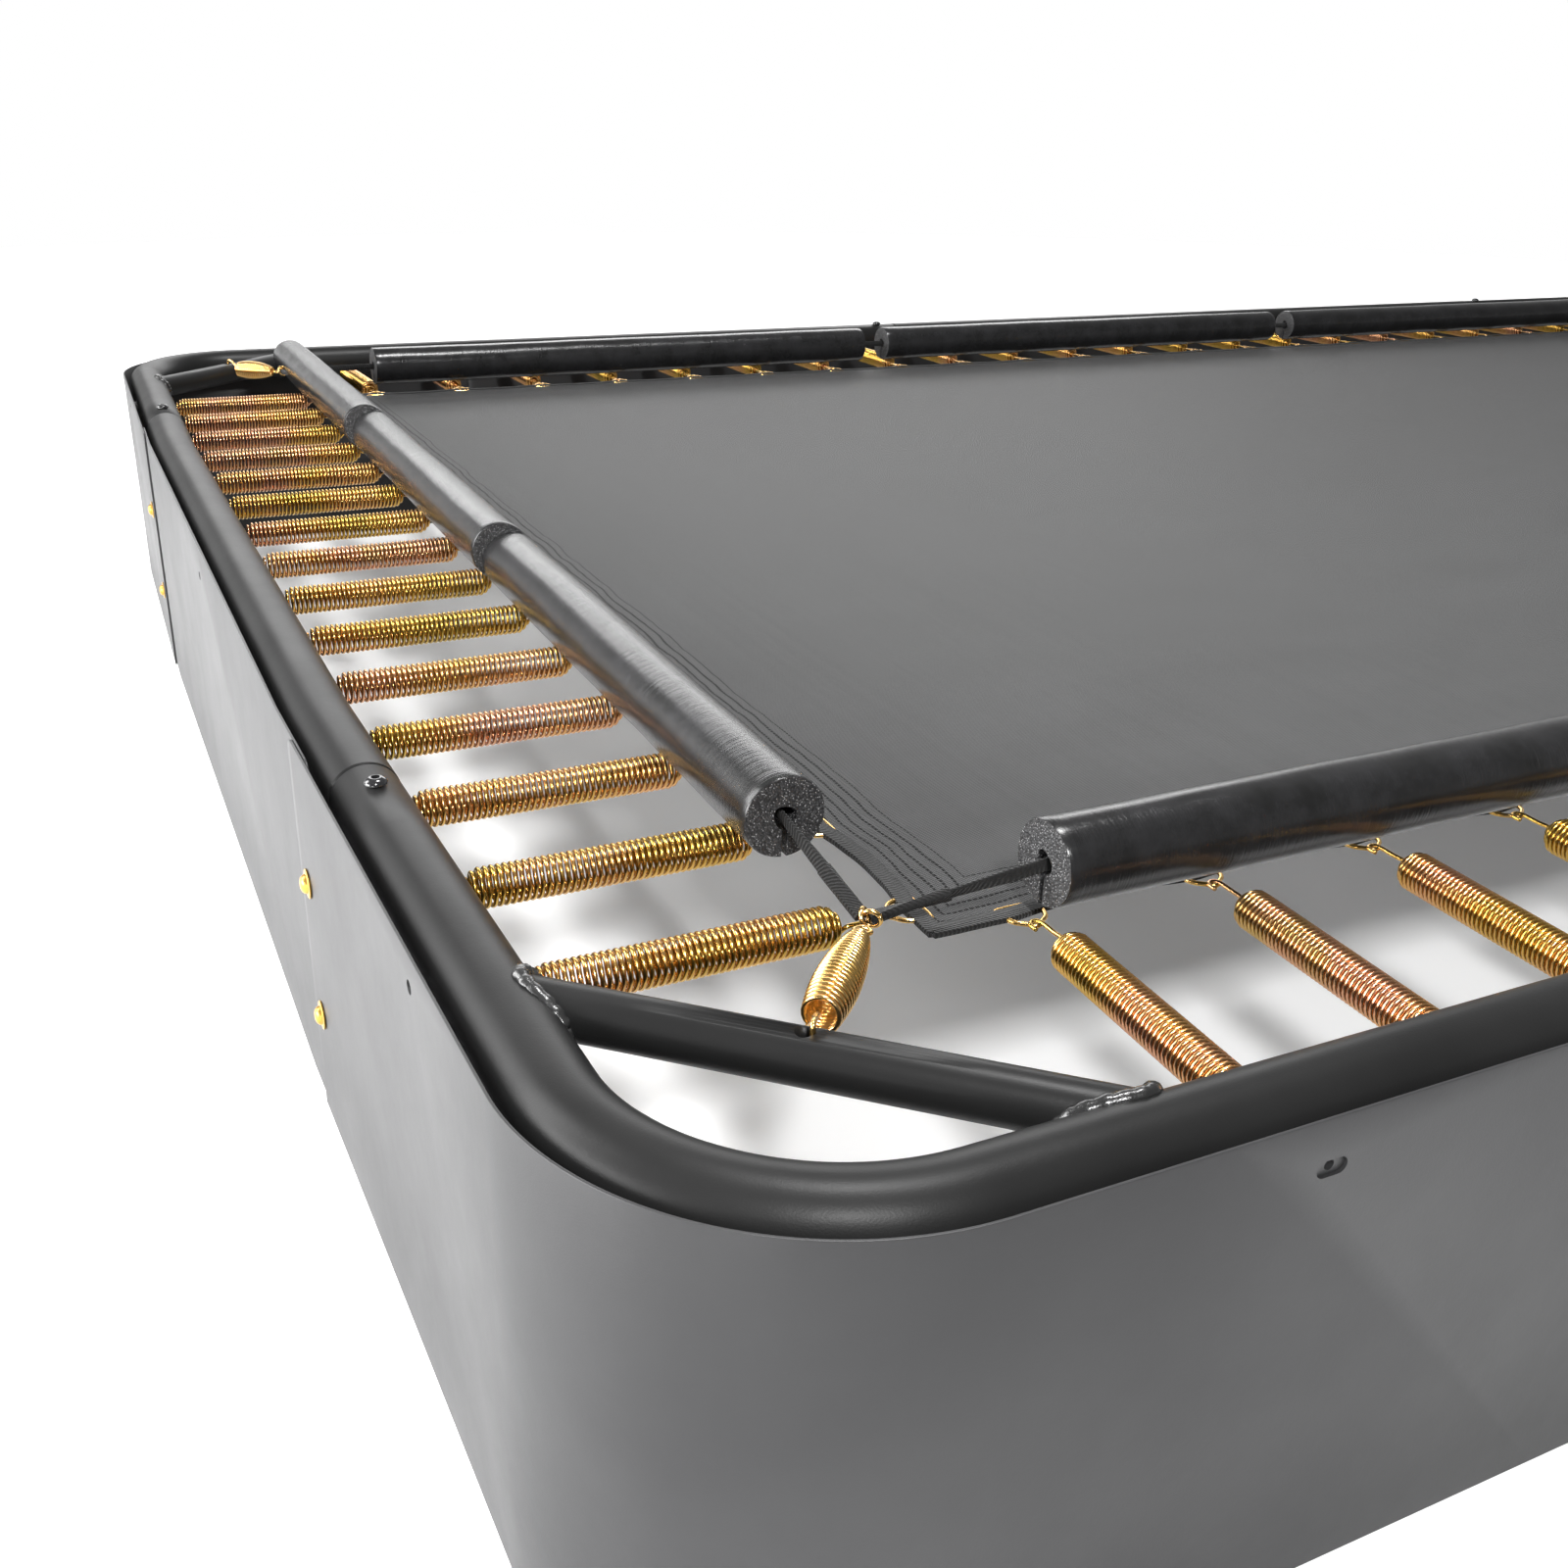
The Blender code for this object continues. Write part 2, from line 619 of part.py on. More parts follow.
HX, HY = LEN_CC / 2, WID_CC / 2
spring_row("spring_row_left", lambda a, i, z: Vector((-HX + i, -HY + a, z)),
           SHORT_N, SHORT_FIRST, WID_CC, BED_U, BED_U - SHORT_HOOK, toed=True)
spring_row("spring_row_right", lambda a, i, z: Vector((HX - i, -HY + a, z)),
           SHORT_N, SHORT_FIRST, WID_CC, BED_U, BED_U - SHORT_HOOK, toed=True)
spring_row("spring_row_front", lambda a, i, z: Vector((-HX + a, -HY + i, z)),
           LONG_N, LONG_FIRST, LEN_CC, BED_V, BED_V - LONG_HOOK)
spring_row("spring_row_rear", lambda a, i, z: Vector((-HX + a, HY - i, z)),
           LONG_N, LONG_FIRST, LEN_CC, BED_V, BED_V - LONG_HOOK)


# ----------------------------------------------------- padded tubes and straps
def foam(start, end):
    """A thick-walled foam tube with a bore and a slit along its underside."""
    start, end = Vector(start), Vector(end)
    along = (end - start).normalized()
    side = Vector((0, 0, 1)).cross(along).normalized()
    up = Vector((0, 0, 1))
    ring = []
    half = FOAM_SLIT / 2
    a0 = math.asin(half / FOAM_R)
    b0 = math.asin(half / FOAM_BORE)
    for k in range(17):
        a = a0 + (2 * math.pi - 2 * a0) * k / 16
        ring.append((math.sin(a) * FOAM_R, -math.cos(a) * FOAM_R))
    for k in range(9):
        a = 2 * math.pi - b0 - (2 * math.pi - 2 * b0) * k / 8
        ring.append((math.sin(a) * FOAM_BORE, -math.cos(a) * FOAM_BORE))
    bm = bmesh.new()
    low = [bm.verts.new(start + side * s + up * t) for s, t in ring]
    high = [bm.verts.new(end + side * s + up * t) for s, t in ring]
    for k in range(len(ring)):
        m = (k + 1) % len(ring)
        bm.faces.new((low[k], low[m], high[m], high[k]))
    bm.faces.new(list(reversed(low)))
    bm.faces.new(high)
    bmesh.ops.recalc_face_normals(bm, faces=bm.faces)
    bmesh.ops.triangulate(bm, faces=[f for f in bm.faces if len(f.verts) > 4])
    mesh = bpy.data.meshes.new("foam")
    bm.to_mesh(mesh)
    bm.free()
    obj = bpy.data.objects.new("foam", mesh)
    bpy.context.scene.collection.objects.link(obj)
    return obj


FZ = RAIL_Z + FOAM_DZ
for side, sx in (("left", -1), ("right", 1)):
    for k, (a, b) in enumerate(short_foams(), 1):
        x = sx * (HX - FOAM_U)
        piece = foam((x, sx * (HY - a), FZ), (x, sx * (HY - b), FZ))
        finish(piece, "padded_tube_%s_%d" % (side, k), FOAM_SKIN)
for side, sy in (("front", -1), ("rear", 1)):
    for k, (a, b) in enumerate(long_foams(), 1):
        y = sy * (HY - FOAM_V)
        piece = foam((sy * (HX - a), y, FZ), (sy * (HX - b), y, FZ))
        finish(piece, "padded_tube_%s_%d" % (side, k), FOAM_SKIN)

# straps: straight through the bores on edge, then down through the slits
def strap(name, ends, line):
    pts = []
    for n, corner in enumerate(ends):
        part = [place(corner, u, v, RAIL_Z + dz) for u, v, dz in line]
        if n:
            part.reverse()
        pts += part
    across = (pts[-1] - pts[0]).cross(Vector((0, 0, 1))).normalized()
    across *= STRAP_T / 2
    deep = Vector((0, 0, STRAP_W / 2))
    bm = bmesh.new()
    rings = [[bm.verts.new(p + across * s + deep * t)
              for s, t in ((-1, -1), (1, -1), (1, 1), (-1, 1))] for p in pts]
    for low, high in zip(rings, rings[1:]):
        for k in range(4):
            m = (k + 1) % 4
            bm.faces.new((low[k], low[m], high[m], high[k]))
    bm.faces.new(list(reversed(rings[0])))
    bm.faces.new(rings[-1])
    bmesh.ops.recalc_face_normals(bm, faces=bm.faces)
    mesh = bpy.data.meshes.new("strap")
    bm.to_mesh(mesh)
    bm.free()
    obj = bpy.data.objects.new("strap", mesh)
    bpy.context.scene.collection.objects.link(obj)
    return finish(obj, name, WEBBING, smooth=False)


for side in ("left", "right"):
    strap("strap_" + side, ("front_" + side, "rear_" + side),
          [(FOAM_U, 0.2540, -0.0070), (FOAM_U, 0.3400, FOAM_DZ)])
for side in ("front", "rear"):
    strap("strap_" + side, (side + "_left", side + "_right"),
          [(0.2560, FOAM_V, -0.0060), (0.3430, FOAM_V, FOAM_DZ)])

# ----------------------------------------------------------- corner springs
# at two opposite corners the padded tubes reach past the corner spring, and the
# spring is drawn up beside them
COVERED = ("rear_left", "front_right")
for corner in CORNERS:
    hole = place(corner, BRACE_U / 2, BRACE_V / 2, RAIL_Z + BRACE_DZ)
    if corner in COVERED:
        low = place(corner, 0.1500, 0.1400, RAIL_Z + 0.0180)
        top = place(corner, 0.1930, 0.1790, RAIL_Z + 0.0170)
    else:
        low = place(corner, 0.1650, 0.1600, RAIL_Z - 0.0020)
        top = place(corner, 0.2240, 0.2290, RAIL_Z - 0.0040)
    size = (top - low).length
    barrel = [(0.0, 0.0110), (size * 0.30, 0.0130), (size * 0.60, 0.0126),
              (size * 0.86, 0.0090), (size, 0.0040)]
    body = turned(barrel, low, top, sides=10)
    axis = (top - low).normalized()
    peg = hole + Vector((0, 0, BRACE_R + 0.0040))
    rise = low.lerp(peg, 0.5) + Vector((0, 0, 0.0040))
    hook = pipe([low + axis * 0.004, rise, peg, hole + Vector((0, 0, BRACE_R - 0.0060))], 0.0020, 1)
    eye = pipe([top - axis * 0.004, top + axis * 0.0085], 0.0022, 1)
    body = boolean(body, join([hook, eye]), "UNION")
    finish(body, "corner_spring_" + corner, ZINC_GOLD)
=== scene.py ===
"""Looks of the ground-level trampoline: coils, foam, woven bed, coats and light."""
import math
import random

import bmesh
import bpy
import numpy as np
from mathutils import Matrix, Vector


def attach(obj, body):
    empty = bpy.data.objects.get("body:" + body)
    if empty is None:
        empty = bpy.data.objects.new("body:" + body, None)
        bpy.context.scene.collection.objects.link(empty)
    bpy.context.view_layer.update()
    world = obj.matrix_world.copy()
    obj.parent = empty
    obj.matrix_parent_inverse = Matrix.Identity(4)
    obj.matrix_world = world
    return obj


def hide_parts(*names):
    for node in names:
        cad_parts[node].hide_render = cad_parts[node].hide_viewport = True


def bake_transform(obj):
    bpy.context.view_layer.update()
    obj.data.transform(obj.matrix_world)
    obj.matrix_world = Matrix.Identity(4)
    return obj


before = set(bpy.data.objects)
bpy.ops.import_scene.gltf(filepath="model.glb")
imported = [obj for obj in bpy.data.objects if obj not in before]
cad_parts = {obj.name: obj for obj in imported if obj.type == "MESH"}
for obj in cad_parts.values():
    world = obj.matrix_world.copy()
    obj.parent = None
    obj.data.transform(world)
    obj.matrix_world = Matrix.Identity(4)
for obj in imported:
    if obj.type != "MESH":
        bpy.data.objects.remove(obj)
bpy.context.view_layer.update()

# ------------------------------------------------------------ driving sizes
LEN, WID = 4.42, 2.36          # rail centre to rail centre
HX, HY = LEN / 2, WID / 2
RAIL_Z = 0.300
RAIL_R = 0.0254
BEND_R = 0.148
TOE = math.radians(1.39)       # the corner tubes' short legs toe in
KINK = 0.680
SEAM_V, SEAM_U = 0.530, 1.425  # rail joints, from the corner
BOLT_BACK = 0.036
BRACE_R, BRACE_V, BRACE_U, BRACE_DZ = 0.0154, 0.247, 0.272, 0.007
SKIRT_GAP, SKIRT_T, SKIRT_TOP = 0.0335, 0.0020, RAIL_Z + 0.0160
SEAM_PANEL, OVERLAP = 0.625, 0.060
BOLT_HEIGHTS = (0.098, 0.210)

SPRING_Z = RAIL_Z - 0.0168
COIL_R, WIRE_R, COILS = 0.0123, 0.00156, 46
SHORT_N, SHORT_FIRST, SHORT_TIP = 15, 0.2745, 0.2340
LONG_N, LONG_FIRST, LONG_TIP = 28, 0.3405, 0.1990
BED_U, BED_V, BED_T = 0.2800, 0.2400, 0.0016
HIP = BED_U - BED_V            # the bed's fold lines run at 45 degrees from here

FOAM_R, FOAM_BORE, FOAM_SLIT = 0.0290, 0.0080, 0.0040
FOAM_U, FOAM_V, FOAM_Z = 0.2330, 0.2280, RAIL_Z + 0.0250
SHORT_FOAMS = ((0.346, 0.984), (0.990, 1.628), (1.634, 2.272))
LONG_FOAMS = ((0.348, 1.228), (1.276, 2.186), (2.234, 3.144), (3.192, 4.072))

rng = random.Random(7)
UP = Vector((0.0, 0.0, 1.0))

# (a, i): distance along a side from its first corner, distance in from the rail
SHORT = ("left", "right")
SIDES = {"left": lambda a, i: (-HX + i, -HY + a),
         "right": lambda a, i: (HX - i, HY - a),
         "front": lambda a, i: (-HX + a, -HY + i),
         "rear": lambda a, i: (HX - a, HY - i)}
# (u, v): distance along X and along Y from a corner
CORNERS = {"front_left": (-1, -1), "front_right": (1, -1),
           "rear_right": (1, 1), "rear_left": (-1, 1)}
COVERED = ("rear_left", "front_right")   # corners under the slid padded tubes


def on_side(side, a, i, z):
    x, y = SIDES[side](a, i)
    return Vector((x, y, z))


def at_corner(corner, u, v, z):
    sx, sy = CORNERS[corner]
    return Vector((sx * (HX - u), sy * (HY - v), z))


def toe(v):
    return max(0.0, KINK - v) * math.tan(TOE)


def lane(side, a):
    """Distance of the strap and its padded tubes from the rail."""
    return FOAM_U - 0.004 + 0.006 * a if side in SHORT else FOAM_V


# ------------------------------------------------------------ mesh building
def place(name, data):
    obj = bpy.data.objects.new(name, data)
    bpy.context.scene.collection.objects.link(obj)
    return obj


def smooth(mesh, angle):
    mesh.shade_smooth()
    mesh.set_sharp_from_angle(angle=math.radians(angle))


def as_array(points):
    return np.array([tuple(p) for p in points])


class Build:
    """Gathers rings of points and faces, then makes one mesh piece of them."""

    def __init__(self):
        self.verts, self.quads, self.quad_mat = [], [], []
        self.polys, self.poly_mat, self.uvs = [], [], []
        self.count = 0

    def grid(self, rings, around=True, caps=True, slot=0, cap_slot=None, uv=None):
        """rings is an array (m, k, 3); uv an optional array (m, k + around, 2)."""
        rings = np.asarray(rings, float)
        m, k = rings.shape[:2]
        base = self.count
        self.verts.append(rings.reshape(-1, 3))
        self.count += m * k
        i = np.arange(m - 1)[:, None]
        j = np.arange(k if around else k - 1)[None, :]
        n = (j + 1) % k
        quads = np.stack([i * k + j, i * k + n, (i + 1) * k + n, (i + 1) * k + j], -1)
        self.quads.append(quads.reshape(-1, 4) + base)
        self.quad_mat.append(np.full(len(self.quads[-1]), slot))
        if uv is None:
            self.uvs.append(np.zeros((len(self.quads[-1]), 4, 2)))
        else:
            uv = np.asarray(uv, float)
            corners = np.stack([uv[i, j], uv[i, j + 1], uv[i + 1, j + 1], uv[i + 1, j]],
                               2)
            self.uvs.append(corners.reshape(-1, 4, 2))
        if caps and around:
            cap = slot if cap_slot is None else cap_slot
            self.polys.append(list(range(base + k - 1, base - 1, -1)))
            self.polys.append(list(range(base + (m - 1) * k, base + m * k)))
            self.poly_mat += [cap, cap]

    def piece(self, name, materials, uv_name=None, sharp=40.0):
        verts = np.concatenate(self.verts)
        quads = np.concatenate(self.quads)
        mesh = bpy.data.meshes.new(name)
        mesh.from_pydata(verts, [], quads.tolist() + self.polys)
        slots = np.concatenate(self.quad_mat + [np.array(self.poly_mat, int)])
        mesh.polygons.foreach_set("material_index", slots.astype(np.int32))
        if uv_name:
            layer = mesh.uv_layers.new(name=uv_name)
            flat = np.concatenate(self.uvs).reshape(-1, 2)
            data = np.zeros((len(mesh.loops), 2))
            data[:len(flat)] = flat
            layer.data.foreach_set("uv", data.ravel())
        mesh.validate()
        mesh.shade_smooth()
        if sharp:
            smooth(mesh, sharp)
        for material in materials:
            mesh.materials.append(material)
        return place(name, mesh)


def piece_of(rings, name, material, sharp=40.0):
    b = Build()
    b.grid(rings)
    return b.piece(name, [material], sharp=sharp)


def on_frame(obj, node=None):
    """A piece that stands still with the frame, and the CAD node it replaces."""
    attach(obj, "frame")
    if node:
        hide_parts(node)


def mend(obj, angle, weld=True):
    """Merges doubled points and fills holes, or splits long faces; turns faces out."""
    bm = bmesh.new()
    bm.from_mesh(obj.data)
    if weld:
        bmesh.ops.remove_doubles(bm, verts=bm.verts, dist=0.00002)
        loose = [e for e in bm.edges if len(e.link_faces) == 1]
        if loose:
            bmesh.ops.holes_fill(bm, edges=loose, sides=0)
    else:
        bmesh.ops.triangulate(bm, faces=[f for f in bm.faces if len(f.verts) > 4])
    bmesh.ops.recalc_face_normals(bm, faces=bm.faces)
    bm.to_mesh(obj.data)
    bm.free()
    smooth(obj.data, angle)


def cut_with(obj, rings, name):
    """Cuts the solid made of rings out of obj."""
    b = Build()
    b.grid(rings)
    tool = b.piece(name + "_tool", [])
    mod = obj.modifiers.new(name, "BOOLEAN")
    mod.operation = "DIFFERENCE"
    mod.solver = "EXACT"
    mod.object = tool
    deps = bpy.context.evaluated_depsgraph_get()
    done = bpy.data.meshes.new_from_object(obj.evaluated_get(deps))
    obj.modifiers.clear()
    obj.data = done
    bpy.data.objects.remove(tool, do_unlink=True)


def frames_along(points):
    """Tangent and two side vectors at each point, turning as little as possible."""
    pts = as_array(points)
    tan = np.gradient(pts, axis=0)
    tan /= np.linalg.norm(tan, axis=1)[:, None]
    ref = np.array((0.0, 0.0, 1.0)) if abs(tan[0, 2]) < 0.9 else np.array((1.0, 0, 0))
    side = np.zeros_like(pts)
    first = np.cross(tan[0], ref)
    side[0] = first / np.linalg.norm(first)
    for k in range(1, len(pts)):
        s = side[k - 1] - tan[k] * np.dot(side[k - 1], tan[k])
        side[k] = s / np.linalg.norm(s)
    return pts, tan, side, np.cross(tan, side)


def tube_rings(points, radius, sides=12):
    pts, _, side, other = frames_along(points)
    r = np.broadcast_to(np.asarray(radius, float), (len(pts),))[:, None, None]
    a = -np.linspace(0, 2 * math.pi, sides, endpoint=False)[None, :, None]
    return pts[:, None] + r * (np.cos(a) * side[:, None] + np.sin(a) * other[:, None])


def band_rings(points, wide, thick, wide_dirs):
    """A flat band with rounded edges; wide_dirs gives its width direction."""
    pts, tan, _, _ = frames_along(points)
    rings = []
    for p, t, w in zip(pts, tan, wide_dirs):
        w = np.asarray(tuple(w), float)
        w = w - t * np.dot(w, t)
        w /= np.linalg.norm(w)
        n = np.cross(t, w)
        rings.append([p + w * wide / 2 * x + n * thick / 2 * y
                      for x, y in ((-1, -0.4), (-0.8, -1), (0.8, -1), (1, -0.4),
                                   (1, 0.4), (0.8, 1), (-0.8, 1), (-1, 0.4))])
    return np.array(rings)


def smooth_path(points, steps=8):
    """Catmull-Rom points through a few given ones."""
    p = [Vector(q) for q in points]
    p = [p[0] * 2 - p[1]] + p + [p[-1] * 2 - p[-2]]
    out = []
    for k in range(1, len(p) - 2):
        a, b, c, d = p[k - 1:k + 3]
        for s in range(steps):
            t = s / steps
            out.append(((b * 2) + (c - a) * t + (a * 2 - b * 5 + c * 4 - d) * t * t
                        + (b * 3 - a - c * 3 + d) * t ** 3) * 0.5)
    out.append(p[-2])
    return out


def lathe_rings(profile, start, axis, sides=32):
    """profile is (distance along the axis, radius)."""
    start, axis = Vector(start), Vector(axis).normalized()
    side = axis.orthogonal().normalized()
    other = axis.cross(side)
    return [[start + axis * d + (side * math.cos(a) + other * math.sin(a)) * r
             for a in (2 * math.pi * k / sides for k in range(sides))]
            for d, r in profile]


# --------------------------------------------------------------- materials
class Shader:
    """Builds one node tree: each call adds a node and returns its output."""

    def __init__(self, tree):
        self.tree = tree

    def add(self, kind):
        return self.tree.nodes.new("ShaderNode" + kind)

    def feed(self, node, inputs):
        """Gives inputs, by name or number, a constant or another node's output."""
        for key, value in inputs.items():
            if isinstance(value, bpy.types.NodeSocket):
                self.tree.links.new(value, node.inputs[key])
            else:
                node.inputs[key].default_value = value
        return node

    def split(self, vector):
        return self.feed(self.add("SeparateXYZ"), {0: vector}).outputs

    def noise(self, scale, detail=2.0, stretch=None, source="Object", rough=0.5):
        place = self.add("TexCoord").outputs[source]
        if stretch:
            place = self.feed(self.add("Mapping"), {
                "Scale": stretch, "Vector": place}).outputs["Vector"]
        return self.feed(self.add("TexNoise"), {
            "Scale": scale, "Detail": detail, "Roughness": rough,
            "Vector": place}).outputs["Fac"]

    def ramp(self, value, stops):
        node = self.add("ValToRGB")
        elements = node.color_ramp.elements
        while len(elements) < len(stops):
            elements.new(0.5)
        for element, (pos, colour) in zip(elements, stops):
            element.position = pos
            element.color = (*colour, 1.0)
        return self.feed(node, {"Fac": value}).outputs["Color"]

    def spread(self, value, low, high, start=0.0, end=1.0):
        """Maps start..end to low..high."""
        return self.feed(self.add("MapRange"), {
            "From Min": start, "From Max": end, "To Min": low, "To Max": high,
            "Value": value}).outputs["Result"]

    def bump(self, height, strength, distance, before=None):
        inputs = {"Strength": strength, "Distance": distance, "Height": height}
        if before is not None:
            inputs["Normal"] = before
        return self.feed(self.add("Bump"), inputs).outputs["Normal"]

    def maths(self, operation, *values):
        node = self.add("Math")
        node.operation = operation
        return self.feed(node, dict(enumerate(values))).outputs["Value"]

    def mix(self, share, first, second):
        node = self.add("Mix")
        node.data_type = "RGBA"
        return self.feed(node, {"Factor": share, "A": first,
                                "B": second}).outputs["Result"]


class Surface(Shader):
    """A Principled material."""

    def __init__(self, name):
        self.material = bpy.data.materials.new(name)
        self.material.use_nodes = True
        super().__init__(self.material.node_tree)

    def finish(self, inputs):
        self.feed(self.tree.nodes["Principled BSDF"], inputs)
        return self.material


def coat(name, dark, light, rough_low, rough_high, peel=0.20, gloss=0.30):
    """Powder coat: slightly uneven black with fine orange peel and soft smudges."""
    s = Surface(name)
    soft = s.bump(s.noise(60.0), 0.12, 0.0010)
    return s.finish({
        "Base Color": s.ramp(s.noise(7.0, 4.0), [(0.3, dark), (0.7, light)]),
        "Roughness": s.spread(s.noise(11.0, 6.0, rough=0.65), rough_low, rough_high),
        "Normal": s.bump(s.noise(900.0), peel, 0.0003, soft),
        "Specular IOR Level": gloss})


def zinc(name, stops, scale, rough=0.20):
    """Yellow zinc plate with its drift of gold, pink and green."""
    s = Surface(name)
    grain = s.noise(260.0, 3.0)
    return s.finish({
        "Base Color": s.ramp(s.noise(scale, 3.0, rough=0.6), stops),
        "Metallic": 1.0,
        "Roughness": s.spread(grain, rough - 0.05, rough + 0.10),
        "Normal": s.bump(grain, 0.05, 0.0001)})


def foam_film():
    """Thin glossy film over foam: fine wrinkles across the tube, soft dents."""
    s = Surface("foam_film")
    patch = s.noise(30.0, 5.0, rough=0.7)
    creases = s.noise(55.0, 4.0, (9.0, 0.35, 1.0), "UV", 0.6)
    dented = s.bump(s.noise(26.0, 3.0), 0.10, 0.0016)
    creased = s.bump(creases, 0.50, 0.0008, dented)
    return s.finish({
        "Base Color": s.ramp(patch, [(0.35, (0.008, 0.008, 0.008)),
                                     (0.7, (0.016, 0.016, 0.017))]),
        "Roughness": s.spread(patch, 0.16, 0.32),
        "Specular IOR Level": 0.28,
        "Normal": s.bump(s.noise(420.0, 3.0, rough=0.7), 0.15, 0.0003, creased),
        "Coat Weight": 0.12,
        "Coat Roughness": 0.14})


def foam_cut():
    """Cut face of the foam: open cells, with painted glints where some catch the light.
    """
    s = Surface("foam_cut")
    cells = s.feed(s.add("TexVoronoi"), {
        "Scale": 650.0,
        "Vector": s.add("TexCoord").outputs["Object"]}).outputs["Distance"]
    # painted glints: the base colour is near white close to each cell's centre and dark
    # grey further out
    return s.finish({
        "Base Color": s.ramp(cells, [(0.10, (0.62, 0.62, 0.62)),
                                     (0.20, (0.050, 0.050, 0.052)),
                                     (0.6, (0.012, 0.012, 0.013))]),
        "Roughness": 0.55,
        "Normal": s.bump(cells, 0.9, 0.0010)})


RIB_PITCH, PICK_PITCH, STITCH = 0.0032, 0.0022, 0.0042
SEWN_PITCH, SEWN_FIRST, SEWN_LAST = 0.0092, 0.0120, 0.0580


def woven_bed():
    """Woven polypropylene: fine diagonal twill, sewn lines along the edges."""
    s = Surface("woven_bed")
    do = s.maths
    uv = s.add("UVMap")
    uv.uv_map = "cloth"
    along, inward = s.split(uv.outputs["UV"])[:2]
    x, y = s.split(s.add("TexCoord").outputs["Object"])[:2]
    turn = 2 * math.pi
    # twill: two crossed sets of slanted ribs
    ribs = do("SINE", do("MULTIPLY", do("ADD", x, y), turn / RIB_PITCH))
    slant = do("SUBTRACT", x, do("MULTIPLY", y, 0.45))
    picks = do("SINE", do("MULTIPLY", slant, turn / PICK_PITCH))
    weave = s.spread(do("MULTIPLY", ribs, picks), 0.0, 1.0, -1.0)
    faint = s.noise(5.0, 5.0, (1.0, 3.0, 1.0), rough=0.6)
    streak = s.noise(3.0, 4.0, (40.0, 0.6, 1.0))
    tone = do("ADD", do("MULTIPLY", weave, 0.50),
              do("ADD", do("MULTIPLY", faint, 0.35), do("MULTIPLY", streak, 0.15)))
    cloth = s.ramp(tone, [(0.24, (0.006, 0.006, 0.006)),
                          (0.76, (0.048, 0.048, 0.049))])
    # sewn lines: a set of rows parallel to the edge, each wandering a little
    wander = do("MULTIPLY", do("SUBTRACT", s.noise(16.0), 0.5), 0.011)
    depth = do("ADD", inward, wander)
    rows = do("DIVIDE", do("SUBTRACT", depth, SEWN_FIRST), SEWN_PITCH)
    off = do("ABSOLUTE", do("SUBTRACT", do("FRACT", rows), 0.5))
    inside = do("MULTIPLY", do("GREATER_THAN", depth, SEWN_FIRST - SEWN_PITCH / 2),
                do("LESS_THAN", depth, SEWN_LAST))
    dash = do("GREATER_THAN", do("SINE", do("MULTIPLY", along, turn / STITCH)), -0.75)
    sewn = do("MULTIPLY", do("MULTIPLY", do("GREATER_THAN", off, 0.385), inside), dash)
    lift = do("SUBTRACT", weave, do("MULTIPLY", sewn, 2.0))
    return s.finish({
        "Base Color": s.mix(sewn, cloth, (0.003, 0.003, 0.003, 1.0)),
        "Specular IOR Level": s.spread(sewn, 0.20, 0.02),
        "Roughness": s.spread(faint, 0.50, 0.62),
        "Normal": s.bump(lift, 0.90, 0.0006),
        "Sheen Weight": 0.08,
        "Sheen Roughness": 0.4})


def webbing(name, pitch, tone):
    """Ribbed, slightly fuzzy webbing."""
    s = Surface(name)
    x, y = s.split(s.add("TexCoord").outputs["Object"])[:2]
    ribs = s.maths("SINE", s.maths("MULTIPLY", s.maths("ADD", x, y),
                                   2 * math.pi / pitch))
    fuzz = s.noise(700.0, 4.0, rough=0.7)
    tall = s.maths("ADD", ribs, s.maths("MULTIPLY", fuzz, 2.0))
    return s.finish({
        "Base Color": s.ramp(fuzz, [(0.35, (tone * 0.5,) * 3), (0.7, (tone,) * 3)]),
        "Roughness": 0.85,
        "Sheen Weight": 0.1,
        "Specular IOR Level": 0.2,
        "Normal": s.bump(tall, 0.7, 0.0004)})


RAIL_COAT = coat("rail_coat_black", (0.008, 0.008, 0.008), (0.013, 0.013, 0.013),
                 0.34, 0.46, gloss=0.15)
SKIRT_COAT = coat("skirt_coat_black", (0.020, 0.020, 0.021), (0.028, 0.028, 0.029),
                  0.36, 0.48, 0.15, 0.30)
WELD_COAT = coat("weld_coat_black", (0.010, 0.010, 0.010), (0.022, 0.022, 0.022),
                 0.16, 0.34, 0.5, 0.6)
BOLT_BLACK = coat("blackened_bolt", (0.010, 0.010, 0.011), (0.024, 0.024, 0.025),
                  0.10, 0.20, 0.1, 0.6)
GOLD = zinc("zinc_gold", [(0.30, (0.42, 0.29, 0.06)), (0.42, (0.62, 0.38, 0.08)),
                          (0.52, (0.68, 0.38, 0.14)), (0.60, (0.64, 0.33, 0.19)),
                          (0.72, (0.50, 0.34, 0.10))], 6.0)
GOLD_HOOK = zinc("zinc_gold_hooks", [(0.3, (0.72, 0.44, 0.10)),
                                     (0.7, (0.82, 0.54, 0.24))], 30.0)
GOLD_BOLT = zinc("zinc_gold_bolts", [(0.3, (0.42, 0.24, 0.04)),
                                     (0.7, (0.56, 0.34, 0.08))], 40.0, 0.30)
FILM, FOAM_CUT, BED_CLOTH = foam_film(), foam_cut(), woven_bed()
WEB = webbing("strap_webbing", 0.0024, 0.010)
HEM = webbing("hem_webbing", 0.0030, 0.018)

# ------------------------------------------------- coats on the shown CAD nodes
for name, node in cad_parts.items():
    if name.startswith(("corner_panel", "skirt_panel")):
        chosen = SKIRT_COAT
    elif name.startswith("joint_bolt"):
        chosen = BOLT_BLACK
    else:
        chosen = RAIL_COAT
    node.data.materials.clear()
    node.data.materials.append(chosen)
    smooth(node.data, 35)


# --------------------------------------------------------- rails and corners
def leg_line(corner, v, z=RAIL_Z):
    return at_corner(corner, toe(v), v, z)


RAIL_SIDES = 56


